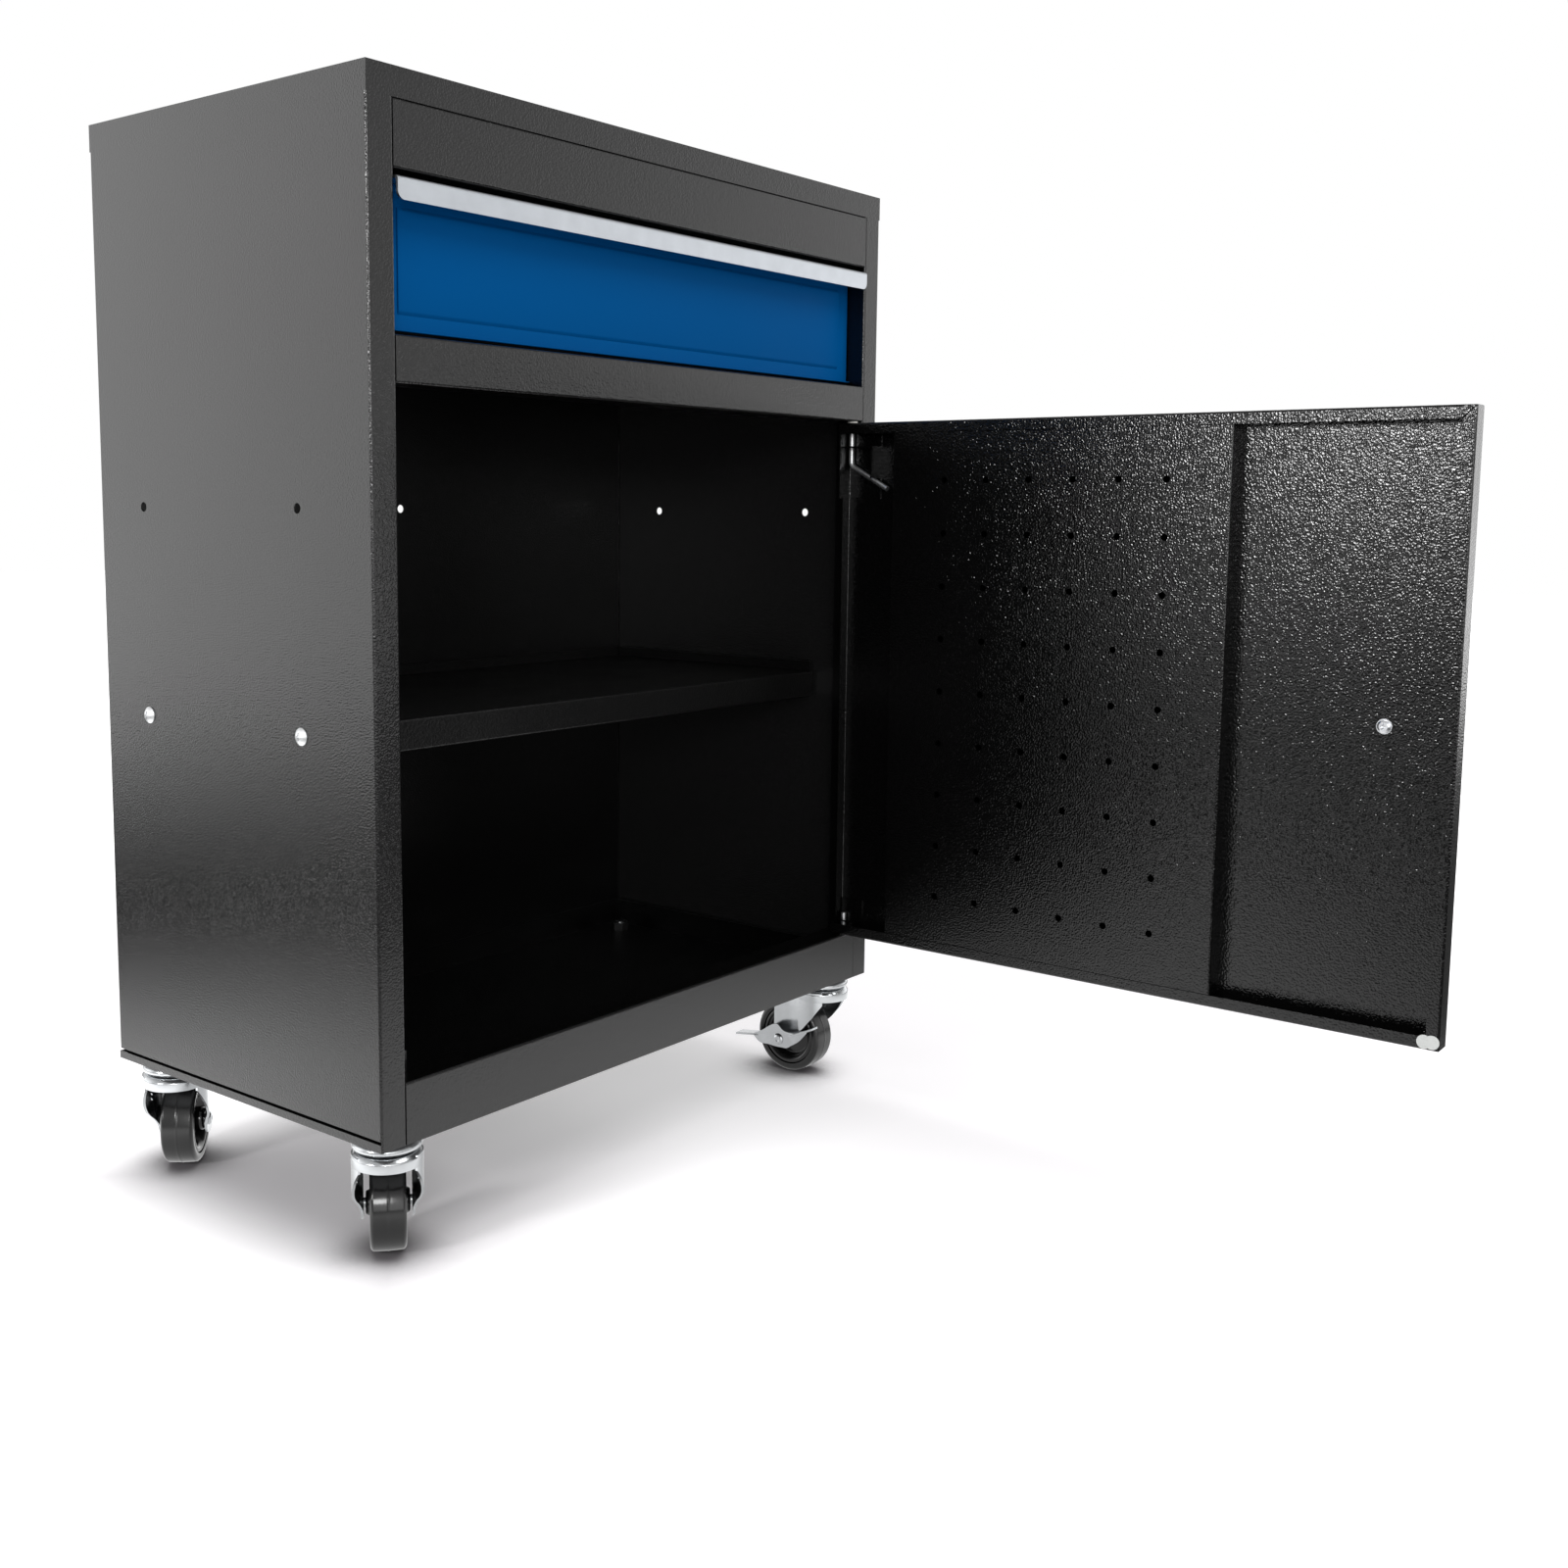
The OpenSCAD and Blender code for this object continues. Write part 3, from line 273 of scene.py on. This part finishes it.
both.inputs[1].default_value = fine_share
wire(grain, fine.outputs["Fac"], both.inputs[0])
wire(grain, bumps.outputs["Fac"], both.inputs[2])
wire(grain, both.outputs[0], end.inputs["Height"])
fleck = add(grain, "ShaderNodeMapRange")
fleck.inputs["From Min"].default_value = 0.5
fleck.inputs["From Max"].default_value = 0.68
wire(grain, fine.outputs["Fac"], fleck.inputs["Value"])
wire(grain, fleck.outputs["Result"], end.inputs["Fleck"])

# Handling: broad faint smudges that dull the gloss
handling, start, end = group("handling", {"Scale": 5.0, "Low": 0.4, "High": 0.7}, ["Smudge"])
where = add(handling, "ShaderNodeTexCoord")
broad = add(handling, "ShaderNodeTexNoise")
broad.inputs["Detail"].default_value = 6
broad.inputs["Roughness"].default_value = 0.65
wire(handling, where.outputs["Object"], broad.inputs["Vector"])
wire(handling, start.outputs["Scale"], broad.inputs["Scale"])
levels = add(handling, "ShaderNodeMapRange")
wire(handling, broad.outputs["Fac"], levels.inputs["Value"])
wire(handling, start.outputs["Low"], levels.inputs["From Min"])
wire(handling, start.outputs["High"], levels.inputs["From Max"])
wire(handling, levels.outputs["Result"], end.inputs["Smudge"])

# Inside: 1 within the body's walls, 0 on their outer faces; the mask of the painted shade inside
inside, start, end = group("inside", {"Half Width": 0.3065, "Front": -0.1635, "Rear": 0.1635,
                                      "Bottom": 0.1025, "Top": 0.838}, ["Within"])
where = add(inside, "ShaderNodeTexCoord")
parts = add(inside, "ShaderNodeSeparateXYZ")
wire(inside, where.outputs["Object"], parts.inputs[0])
tests = [combine(inside, kind, value, start.outputs[limit]) for kind, value, limit in (
    ("LESS_THAN", combine(inside, "ABSOLUTE", parts.outputs["X"]), "Half Width"),
    ("GREATER_THAN", parts.outputs["Y"], "Front"), ("LESS_THAN", parts.outputs["Y"], "Rear"),
    ("GREATER_THAN", parts.outputs["Z"], "Bottom"), ("LESS_THAN", parts.outputs["Z"], "Top"))]
within = tests[0]
for test in tests[1:]:
    within = combine(inside, "MULTIPLY", within, test)
wire(inside, within, end.inputs["Within"])


def use(tree, shared, **values):
    """Places a shared group in a material and sets its named inputs."""
    made = add(tree, "ShaderNodeGroup", node_tree=shared)
    for key, value in values.items():
        made.inputs[key].default_value = value
    return made


def material(name, **sockets):
    """New material; the shader's own sockets are set by name, blanks as underscores."""
    made = bpy.data.materials.new(name)
    made.use_nodes = True
    shader = made.node_tree.nodes["Principled BSDF"]
    for key, value in sockets.items():
        shader.inputs[key.replace("_", " ")].default_value = value
    return made, made.node_tree, shader


least_roughness_inside = 0.28


def paint(name, dark, light, rough, scale, bump, fine=1500.0, depth=0.0001, inside_shade=None, **sockets):
    """Powder coat: two tones by fleck, roughness by smudge, relief by grain. With a
    share for the inside, the surfaces inside the body are darkened by it as painted shade and never glossy."""
    made, tree, shader = material(name, **sockets)
    texture = use(tree, grain, Scale=scale, Fine=fine)
    fleck = texture.outputs["Fleck"]
    tone = blend(tree, fleck, dark, light)
    roughness = between(tree, use(tree, handling).outputs["Smudge"], *rough)
    if inside_shade is not None:
        # Painted shade inside the body: both tones are scaled down by the share
        within = use(tree, inside).outputs["Within"]
        shade = blend(tree, fleck, tuple(inside_shade * c for c in dark), tuple(inside_shade * c for c in light))
        tone = blend(tree, within, tone, shade)
        dull = combine(tree, "MULTIPLY", within, least_roughness_inside)
        roughness = combine(tree, "MAXIMUM", roughness, dull)
    wire(tree, tone, shader.inputs["Base Color"])
    wire(tree, roughness, shader.inputs["Roughness"])
    relief = add(tree, "ShaderNodeBump")
    relief.inputs["Strength"].default_value = bump
    relief.inputs["Distance"].default_value = depth
    wire(tree, texture.outputs["Height"], relief.inputs["Height"])
    wire(tree, relief.outputs["Normal"], shader.inputs["Normal"])
    return made


def dress(finish, *names):
    """Gives every CAD node whose name starts with one of the names this finish."""
    for name, node in nodes.items():
        if name.startswith(names):
            node.data.materials.clear()
            node.data.materials.append(finish)


body_coat = paint("body_coat", dark=(0.009, 0.009, 0.009), light=(0.018, 0.0178, 0.018), rough=(0.12, 0.18),
                  scale=760, bump=1.0, depth=0.00024, inside_shade=0.1)
dress(body_coat, "side_panel", "back_panel", "bottom_pan", "bottom_rail", "cross_rail", "top_rail",
      "top_cover")


# Mat in the top tray
# A black rubber mat moulded with fine ribs. It lies loose in the tray of the cover,
# held in its place by the raised rim.
mat_rubber = paint("mat_rubber", dark=(0.012, 0.012, 0.012), light=(0.022, 0.022, 0.022), rough=(0.6, 0.8),
                   scale=500, bump=0.4)
dress(mat_rubber, "top_mat")


# Shelf and its screws
# A folded shelf, blacker than the walls, rests on the nuts of five zinc-plated
# truss-head screws through the walls. The magnetic catch is moulded plastic.
inner_coat = paint("inner_coat", dark=(0.004, 0.004, 0.004), light=(0.01, 0.01, 0.01), rough=(0.3, 0.4),
                   scale=600, bump=1.0, depth=0.0003, Specular_IOR_Level=0.3)
dress(inner_coat, "shelf")
catch_plastic = paint("catch_plastic", dark=(0.008, 0.008, 0.008), light=(0.014, 0.014, 0.014),
                      rough=(0.4, 0.55), scale=900, bump=0.2)
dress(catch_plastic, "magnet_catch")

# Metal tone: cloudy patches and fine scratches along one axis
lustre, start, end = group("lustre", {"Scale": 160.0, "Along X": 1.0, "Along Y": 1.0, "Along Z": 1.0},
                           ["Scratch", "Cloud"])
where = add(lustre, "ShaderNodeTexCoord")
stretch = add(lustre, "ShaderNodeCombineXYZ")
for axis in "XYZ":
    wire(lustre, start.outputs["Along " + axis], stretch.inputs[axis])
drawn = add(lustre, "ShaderNodeVectorMath", operation="MULTIPLY")
wire(lustre, where.outputs["Object"], drawn.inputs[0])
wire(lustre, stretch.outputs[0], drawn.inputs[1])
scratch = add(lustre, "ShaderNodeTexNoise")
scratch.inputs["Detail"].default_value = 4
wire(lustre, drawn.outputs[0], scratch.inputs["Vector"])
wire(lustre, start.outputs["Scale"], scratch.inputs["Scale"])
cloud = add(lustre, "ShaderNodeTexNoise")
cloud.inputs["Scale"].default_value = 70
cloud.inputs["Detail"].default_value = 2
wire(lustre, where.outputs["Object"], cloud.inputs["Vector"])
wire(lustre, scratch.outputs["Fac"], end.inputs["Scratch"])
wire(lustre, cloud.outputs["Fac"], end.inputs["Cloud"])


shade_of_cloud = 0.82
scratch_depth = 0.0001


def metal(name, colour, rough, scale, bump, along=(1, 1, 1)):
    """Bare or plated metal: tone by cloud, roughness and relief by scratch. The
    scratches run along the axis whose number in along is smallest."""
    made, tree, shader = material(name, Metallic=1.0)
    texture = use(tree, lustre, Scale=scale, **{"Along " + a: v for a, v in zip("XYZ", along)})
    tone = blend(tree, texture.outputs["Cloud"], tuple(shade_of_cloud * c for c in colour), colour)
    wire(tree, tone, shader.inputs["Base Color"])
    wire(tree, between(tree, texture.outputs["Scratch"], *rough), shader.inputs["Roughness"])
    relief = add(tree, "ShaderNodeBump")
    relief.inputs["Strength"].default_value = bump
    relief.inputs["Distance"].default_value = scratch_depth
    wire(tree, texture.outputs["Scratch"], relief.inputs["Height"])
    wire(tree, relief.outputs["Normal"], shader.inputs["Normal"])
    return made


bright_zinc = metal("bright_zinc", colour=(0.58, 0.595, 0.61), rough=(0.16, 0.3), scale=260, bump=0.15)
dress(bright_zinc, "shelf_nuts")
satin_zinc = metal("satin_zinc", colour=(0.86, 0.87, 0.88), rough=(0.34, 0.5), scale=300, bump=0.2)
dress(satin_zinc, "shelf_screws")


# Drawer
# A tray of black sheet behind a front pressed from blue sheet, on two-stage
# steel slides. An aluminium strip hooked over the front's top edge is the pull.
bracket_coat = paint("slide_bracket_coat", dark=(0.006, 0.006, 0.006), light=(0.014, 0.014, 0.014),
                     rough=(0.4, 0.55), scale=640, bump=0.4)
dress(bracket_coat, "slide_bracket", "drawer_box")
slide_steel = metal("slide_steel", colour=(0.62, 0.63, 0.65), rough=(0.25, 0.5), scale=90, bump=0.2,
                    along=(40, 1, 40))
dress(slide_steel, "slide_outer", "slide_middle", "slide_inner")
satin_aluminium = metal("satin_aluminium", colour=(0.62, 0.65, 0.69), rough=(0.3, 0.42), scale=120, bump=0.2,
                        along=(1, 30, 30))
dress(satin_aluminium, "drawer_handle_strip")
blue_coat = paint("blue_coat", dark=(0.0, 0.074, 0.245), light=(0.0, 0.08, 0.265), rough=(0.4, 0.5),
                  scale=1100, bump=0.1, fine=2600.0, Specular_IOR_Level=0.02)


def soften(points, radius, closed=True, steps=4):
    """Rounded outline: each corner becomes a curve of even parameter t with weights
    (1-t)^2, 2t(1-t) and t^2 on a point before it, the corner and a point after it.
    Those points lie the radius away along the sides, or half a side if that is less."""
    points = np.asarray(points, float)
    before = np.roll(points, 1, axis=0) - points
    after = np.roll(points, -1, axis=0) - points
    reach = np.minimum(np.minimum(np.linalg.norm(before, axis=1), np.linalg.norm(after, axis=1)) / 2, radius)
    if not closed:
        reach[[0, -1]] = 0
    unit = [d / np.maximum(np.linalg.norm(d, axis=1, keepdims=True), 1e-12) for d in (before, after)]
    first, last = (points + reach[:, None] * u for u in unit)
    t = np.linspace(0, 1, steps)[None, :, None]
    curve = (1 - t) ** 2 * first[:, None] + 2 * t * (1 - t) * points[:, None] + t ** 2 * last[:, None]
    return curve.reshape(-1, 2)


def net(grid, around_u=False, around_v=False):
    """Quads of a grid of points, closed round its first or second parameter."""
    rows, columns = grid.shape[:2]
    u = np.arange(rows if around_u else rows - 1)[:, None]
    v = np.arange(columns if around_v else columns - 1)[None, :]
    u1, v1 = (u + 1) % rows, (v + 1) % columns
    quads = np.stack([u * columns + v, u1 * columns + v, u1 * columns + v1, u * columns + v1], axis=-1)
    return grid.reshape(-1, 3), quads.reshape(-1, 4).tolist()


def piece(name, shells, finish, body, replaced, sharp=32, bevel=0.0):
    """One object from closed shells of (points, faces): seams merged, faces turned
    outwards, edges sharper than the angle kept crisp and, if asked, bevelled."""
    mesh = bpy.data.meshes.new(name)
    points, faces, first = [], [], 0
    for shell_points, shell_faces in shells:
        points.append(shell_points)
        faces += [[first + i for i in face] for face in shell_faces]
        first += len(shell_points)
    mesh.from_pydata(np.concatenate(points).tolist(), [], faces)
    work = bmesh.new()
    work.from_mesh(mesh)
    bmesh.ops.remove_doubles(work, verts=work.verts, dist=2e-6)
    bmesh.ops.dissolve_degenerate(work, edges=work.edges, dist=1e-6)
    bmesh.ops.recalc_face_normals(work, faces=work.faces)
    work.to_mesh(mesh)
    work.free()
    mesh.shade_smooth()
    mesh.set_sharp_from_angle(angle=math.radians(sharp))
    mesh.materials.append(finish)
    made = bpy.data.objects.new(name, mesh)
    bpy.context.scene.collection.objects.link(made)
    if bevel:
        edge = made.modifiers.new("edge", "BEVEL")
        edge.width = bevel
        edge.segments = 2
        edge.limit_method = "ANGLE"
        edge.angle_limit = math.radians(sharp)
    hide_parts(*replaced)
    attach(made, body)


def prism(outline, low, high, frame_of):
    """Closed shell of a flat outline carried from low to high along its normal;
    frame_of maps (across, along, up) arrays to points."""
    outline = np.asarray(outline, float)
    levels = np.array([low, high])
    grid = frame_of(np.repeat(outline[:, 0][:, None], 2, 1), np.repeat(levels[None], len(outline), 0),
                    np.repeat(outline[:, 1][:, None], 2, 1))
    points, faces = net(grid, around_u=True)
    count = len(outline)
    return points, faces + [[2 * i for i in range(count)], [2 * i + 1 for i in reversed(range(count))]]


# Front: sheet bent over at the top and out at the foot, with two side returns and
# a field pressed forward; its foot hangs lower than the CAD node's, as in the photo
def lengthwise(across, along, up):
    """Frame with X along the prism, from mm."""
    return np.stack([along, across, up], axis=-1) / 1000


gauge, foot_out, foot_drop = 1, 4, 4.5
return_gap, return_depth = 3, 8
raised, slope, bedded = 1.2, 3, 0.3
field_margin, field_foot, field_top = 16, 14, 17
front_low, front_high = (1000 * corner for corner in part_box("drawer_front"))
half, back_y, top_z = front_high
face_y, foot_z = front_low[1] + foot_out, front_low[2] - foot_drop
fold = soften([(back_y, top_z), (face_y, top_z), (face_y, foot_z + gauge), (face_y - foot_out, foot_z + gauge),
               (face_y - foot_out, foot_z), (face_y + gauge, foot_z), (face_y + gauge, top_z - gauge),
               (back_y, top_z - gauge)], 0.5, steps=3)
side = [(face_y + gauge / 2, foot_z + return_gap), (face_y + return_depth, foot_z + return_gap),
        (face_y + return_depth, top_z - return_gap), (face_y + gauge / 2, top_z - return_gap)]
field = soften([(face_y - raised, foot_z + field_foot), (face_y - raised, top_z - field_top),
                (face_y + bedded, top_z - field_top + slope), (face_y + bedded, foot_z + field_foot - slope)],
               0.5, steps=3)
piece("front_pressing", [prism(fold, -half, half, lengthwise), prism(side, half - gauge, half, lengthwise),
                         prism(side, -half, gauge - half, lengthwise),
                         prism(field, field_margin - half, half - field_margin, lengthwise)],
      blue_coat, "drawer", ["drawer_front"], bevel=0.0002)


# Door
# A pressed pan with lips turned behind it and a raised panel of tool holes, in
# glossy black wrinkle paint. It hangs on a fixed lower and a sliding upper pin.
door_coat = paint("door_coat", dark=(0.002, 0.002, 0.002), light=(0.004, 0.004, 0.004), rough=(0.07, 0.11),
                  scale=640, bump=1.0, fine=1400.0, depth=0.00034)
dress(door_coat, "door_skin", "door_peg_panel", "door_top_bracket", "door_bottom_bracket")
dress(satin_zinc, "top_hinge_pin", "bottom_hinge_pin", "door_knob_screw")
nylon = paint("nylon", dark=(0.6, 0.59, 0.55), light=(0.7, 0.69, 0.65), rough=(0.4, 0.5), scale=800, bump=0.1)
dress(nylon, "hinge_washers")
clear_vinyl = paint("clear_vinyl", dark=(0.62, 0.64, 0.62), light=(0.74, 0.76, 0.74), rough=(0.15, 0.3),
                    scale=600, bump=0.1)
dress(clear_vinyl, "door_bumpers")
turned_aluminium = metal("turned_aluminium", colour=(0.8, 0.81, 0.84), rough=(0.2, 0.34), scale=300, bump=0.2)
dress(turned_aluminium, "door_knob")


# Casters
# Swivel casters with 75 mm wheels: a zinc-plated cup under the pan, a pressed
# fork with two legs on a riveted stem, and a moulded wheel on a riveted axle.
dress(bright_zinc, "caster_stems")
dress(bracket_coat, "caster_nuts")
tyre_rubber = paint("tyre_rubber", dark=(0.008, 0.008, 0.008), light=(0.012, 0.012, 0.012), rough=(0.16, 0.26),
                    scale=420, bump=0.1, fine=900.0)
wheel_plastic = paint("wheel_plastic", dark=(0.005, 0.005, 0.005), light=(0.008, 0.008, 0.008),
                      rough=(0.12, 0.2), scale=800, bump=0.1)

# Swivel lines in metres, with the heading of each trailing wheel in degrees; then, in
# mm, heights from the pan's underside, distances behind the swivel line, and radii
corners = {"fl": ("front_left", -0.277, -0.134, 50.2), "fr": ("front_right", 0.277, -0.134, 91.4),
           "rl": ("rear_left", -0.277, 0.134, 43.0), "rr": ("rear_right", 0.277, 0.134, 70.0)}
pan_z, trail, axle_z = 102, 30.7, -65.6
stem_bore, crown_r, crown_top, crown_rim, crown_sheet = 5.05, 26.5, -11.4, 11.3, 2
leg_out, leg_rear, leg_end, leg_top, leg_sheet = 20, 42.4, 11.7, -13.6, 2.1
wheel_r, tread, core_r, core_bore = 36.4, 27.2, 29, 4.06


def caster_frame(x, y, heading):
    """Maps (behind the swivel line, across, up from the pan's underside) in mm to
    metres."""
    c, s = math.cos(math.radians(heading)), math.sin(math.radians(heading))

    def frame_of(behind, off, up):
        return np.stack([x + (behind * c - off * s) / 1000, y + (behind * s + off * c) / 1000,
                         (up + pan_z) / 1000], axis=-1)
    return frame_of


def upright(frame_of):
    """The same with the axis of revolution upright: (a, along, b) to (a, b, along)."""
    return lambda a, along, b: frame_of(a, b, along)


def on_axle(frame_of):
    """The same with the axis of revolution along the axle."""
    return lambda a, along, b: frame_of(a + trail, along, b + axle_z)


def turned(profile, frame_of, closed=True, steps=96):
    """Closed shell of revolution: profile points (radius, along) swept through a full
    turn, point = (radius cos t, along, radius sin t). A profile that isn't closed
    starts and ends on the axis."""
    profile = np.asarray(profile, float)
    t = np.linspace(0, 2 * np.pi, steps, endpoint=False)
    radius, along = profile[:, 0][:, None], profile[:, 1][:, None]
    grid = frame_of(radius * np.cos(t), along + 0 * t, radius * np.sin(t))
    return net(grid, around_u=closed, around_v=True)


# Cup: closed ring profile (radius, height) with a rolled lower edge
cup_profile = soften([(stem_bore, 0), (17.5, 0), (21.5, -1.2), (24.6, -4.4), (25.9, -6.4), (25.9, -9),
                      (22.5, -9), (22.5, -7), (stem_bore, -7)], 0.9)

# Crown of the fork: race, shoulder and skirt
crown_foot, crown_inner_r = crown_top - crown_rim, crown_r - crown_sheet
crown_profile = soften([(stem_bore, crown_top), (21.5, crown_top), (23.6, crown_top - 0.5),
                        (25.2, crown_top - 2.2), (crown_r, crown_top - 4), (crown_r, crown_foot),
                        (crown_inner_r, crown_foot), (crown_inner_r, crown_top - 5), (24, crown_top - 3.6),
                        (20, crown_top - crown_sheet), (stem_bore, crown_top - crown_sheet)], 0.7)

# Front and rear edge of a leg from the crown down to the lobe round the axle
lobe_turn = np.linspace(1.45, 3.0, 16)
leg_levels = np.concatenate([np.linspace(leg_top, -62, 34), axle_z + leg_end * np.cos(lobe_turn)])
front_edge = np.interp(-leg_levels, [-leg_top, 25.3, 38.7, 50, 58.2, 68],
                       [-15.5, -15.5, -6.4, 3.4, 12.2, 19.6])
rear_edge = np.interp(-leg_levels, [-leg_top, 22, 37.6, 66], [24.6, 34, leg_rear, leg_rear])
lobe = np.sqrt(np.maximum(leg_end ** 2 - (leg_levels - axle_z) ** 2, 0))
low = leg_levels < axle_z
front_edge = np.where(low, trail - lobe, front_edge)
rear_edge = np.where(low, trail + lobe, rear_edge)

# The crease lies this far behind the swivel line, is rounded over the bend, and the
# slant stays within the crown's circle up to the release; in mm
crease, bend, release, inset = 22.0, 2.0, 9.4, 0.15
fade_start, fade_height, fade_power = 6, 16, 0.7


def leg_offset(behind, level):
    """Distance of a leg's outer face from the wheel's middle: the crown's circle in
    front, a slant to the crease, then straight; the slant fades out at the axle."""
    meet = math.atan2(leg_out, crease) + math.acos(crown_r / math.hypot(crease, leg_out))
    slope = 1 / math.tan(meet)
    circle = np.sqrt(np.maximum((crown_r - inset) ** 2 - behind ** 2, 0))
    slant = leg_out + slope * bend * np.logaddexp(0, (crease - behind) / bend)
    limit = np.where(behind > release, np.inf, circle)
    out = np.where(behind < crown_r * math.cos(meet), circle, np.minimum(slant, limit))
    fade = np.clip((level - axle_z + fade_start) / fade_height, 0, 1)
    return leg_out + (out - leg_out) * fade ** fade_power


def leg(side, frame_of):
    """Closed shell of one leg. Outer face: (behind, offset) with behind running from
    the front to the rear edge at each level; inner face the sheet's thickness nearer,
    measured square to the outer one, whose lean is a difference over a short step."""
    columns, step, steepest = 40, 0.05, 0.9
    share = np.linspace(0, 1, columns)[None, :]
    behind = front_edge[:, None] + (rear_edge - front_edge)[:, None] * share
    level = leg_levels[:, None] + 0 * share
    outer = leg_offset(behind, level)
    lean = (leg_offset(behind + step, level) - leg_offset(behind - step, level)) / (2 * step)
    lean = np.clip(lean, -steepest, steepest)
    inner = outer - leg_sheet / np.sqrt(1 + lean ** 2)
    inner_behind = behind + leg_sheet * lean / np.sqrt(1 + lean ** 2)
    loop = [frame_of(behind, side * outer, level), frame_of(inner_behind, side * inner, level)[:, ::-1]]
    points, faces = net(np.concatenate(loop, axis=1), around_v=True)
    count = 2 * columns
    for row in (0, (len(leg_levels) - 1) * count):
        faces += [[row + i, row + i + 1, row + count - 2 - i, row + count - 1 - i] for i in range(columns - 1)]
    return points, faces


# Tyre: closed ring profile (radius, across) with crowned tread and moulding line
tread_half, tread_edge = tread / 2, 2.6
crowning, line_height, line_width = 0.55, 0.3, 0.6
tread_line = np.linspace(-tread_half + tread_edge, tread_half - tread_edge, 61)
tread_top = (wheel_r - line_height - crowning * (tread_line / tread_half) ** 2
             + line_height * np.exp(-(tread_line / line_width) ** 2))
shoulder = soften([(core_r, tread_half - 0.4), (32, tread_half), (wheel_r - 2.4, tread_half - 0.5),
                   (wheel_r - 0.9, tread_half - 2)], 1.8, closed=False)
tyre_profile = np.concatenate([shoulder * [1, -1], np.stack([tread_top, tread_line], axis=1), shoulder[::-1]])

# Wheel core: hub, dished web and raised rim
core_rim = core_r - 0.01
core_half = np.array([(core_bore, 16.5), (8.6, 16.5), (10, 14), (10, 6), (20.4, 4), (22.4, 11), (25.4, 13.4),
                      (core_rim, 12.2)])
core_profile = soften(np.concatenate([core_half * [1, -1], core_half[::-1]]), 1.6)

# Pedal: plate, foot pad and release arm round the axle, in wheel radii
pedal_plate = soften(wheel_r * np.array([
    [0.882, -0.016], [0.712, -0.165], [0.596, -0.231], [0.299, -0.209], [0.085, -0.231], [-0.176, -0.217],
    [-0.401, -0.132], [-0.673, 0.047], [-0.876, 0.28], [-0.898, 0.346], [-0.475, 0.239], [-0.234, 0.247],
    [-0.121, 0.28], [-0.038, 0.36], [0.047, 0.426], [0.176, 0.393], [0.354, 0.283], [0.552, 0.132]]), 4.0)
pedal_pad = wheel_r * np.array([[0.66, 0.014], [1.437, -0.093], [1.437, -0.148], [0.66, -0.041]])
pedal_arm = wheel_r * np.array([[-0.475, 0.225], [-1.228, 0.577], [-1.245, 0.525], [-0.49, 0.17]])

# Distances from the wheel's middle to the pedal's faces, in mm
plate_in, plate_out, pad_in, arm_out = 27.3, 29.3, 17.2, 37.4

# Axle: riveted over low dimpled heads outside the legs, or outside the pedal, with
# a spacer between that leg and the pedal; profile points (radius, across)
axle_r, spacer_r, play = 4, 6, 0.3
head = np.array([(5.6, 0), (4.4, 1.5), (2.6, 2), (1.4, 1.5), (0, 1.5)])
spacer_in, spacer_out = leg_out + 0.1, plate_in - play
spacer = [(axle_r, spacer_in), (spacer_r, spacer_in), (spacer_r, spacer_out), (axle_r, spacer_out)]

for key, (corner, x, y, heading) in corners.items():
    at = caster_frame(x, y, heading)
    axle = on_axle(at)
    braked = key in ("fr", "rr")
    piece("cup_" + key, [turned(cup_profile, upright(at))], bright_zinc, "cabinet",
          ["caster_cup_" + key])
    piece("fork_shell_" + key, [turned(crown_profile, upright(at)), leg(1, at), leg(-1, at)], bright_zinc,
          "caster_" + corner, ["fork_" + key], bevel=0.0003)
    piece("tyre_ring_" + key, [turned(tyre_profile, axle)], tyre_rubber, "wheel_" + corner,
          ["tyre_" + key])
    piece("wheel_disc_" + key, [turned(core_profile, axle)], wheel_plastic, "wheel_" + corner,
          ["wheel_core_" + key])
    near, far = -leg_out, plate_out + play if braked else leg_out
    middle = [(axle_r, near)] + (spacer if braked else []) + [(axle_r, far)]
    profile = np.concatenate([(head * [1, -1] + [0, near])[::-1], middle, head + [0, far]])
    piece("axle_rivet_" + key, [turned(soften(profile, 0.3, closed=False), axle, closed=False)], bright_zinc,
          "caster_" + corner, ["axle_" + key])
    if braked:
        shells = [prism(pedal_plate, plate_in, plate_out, axle), prism(pedal_pad, pad_in, plate_out, axle),
                  prism(pedal_arm, plate_in, arm_out, axle)]
        piece("pedal_" + key, shells, bright_zinc, "brake_" + corner, ["brake_pedal_" + key],
              bevel=0.0004)

bpy.context.scene.view_settings.view_transform = "Standard"
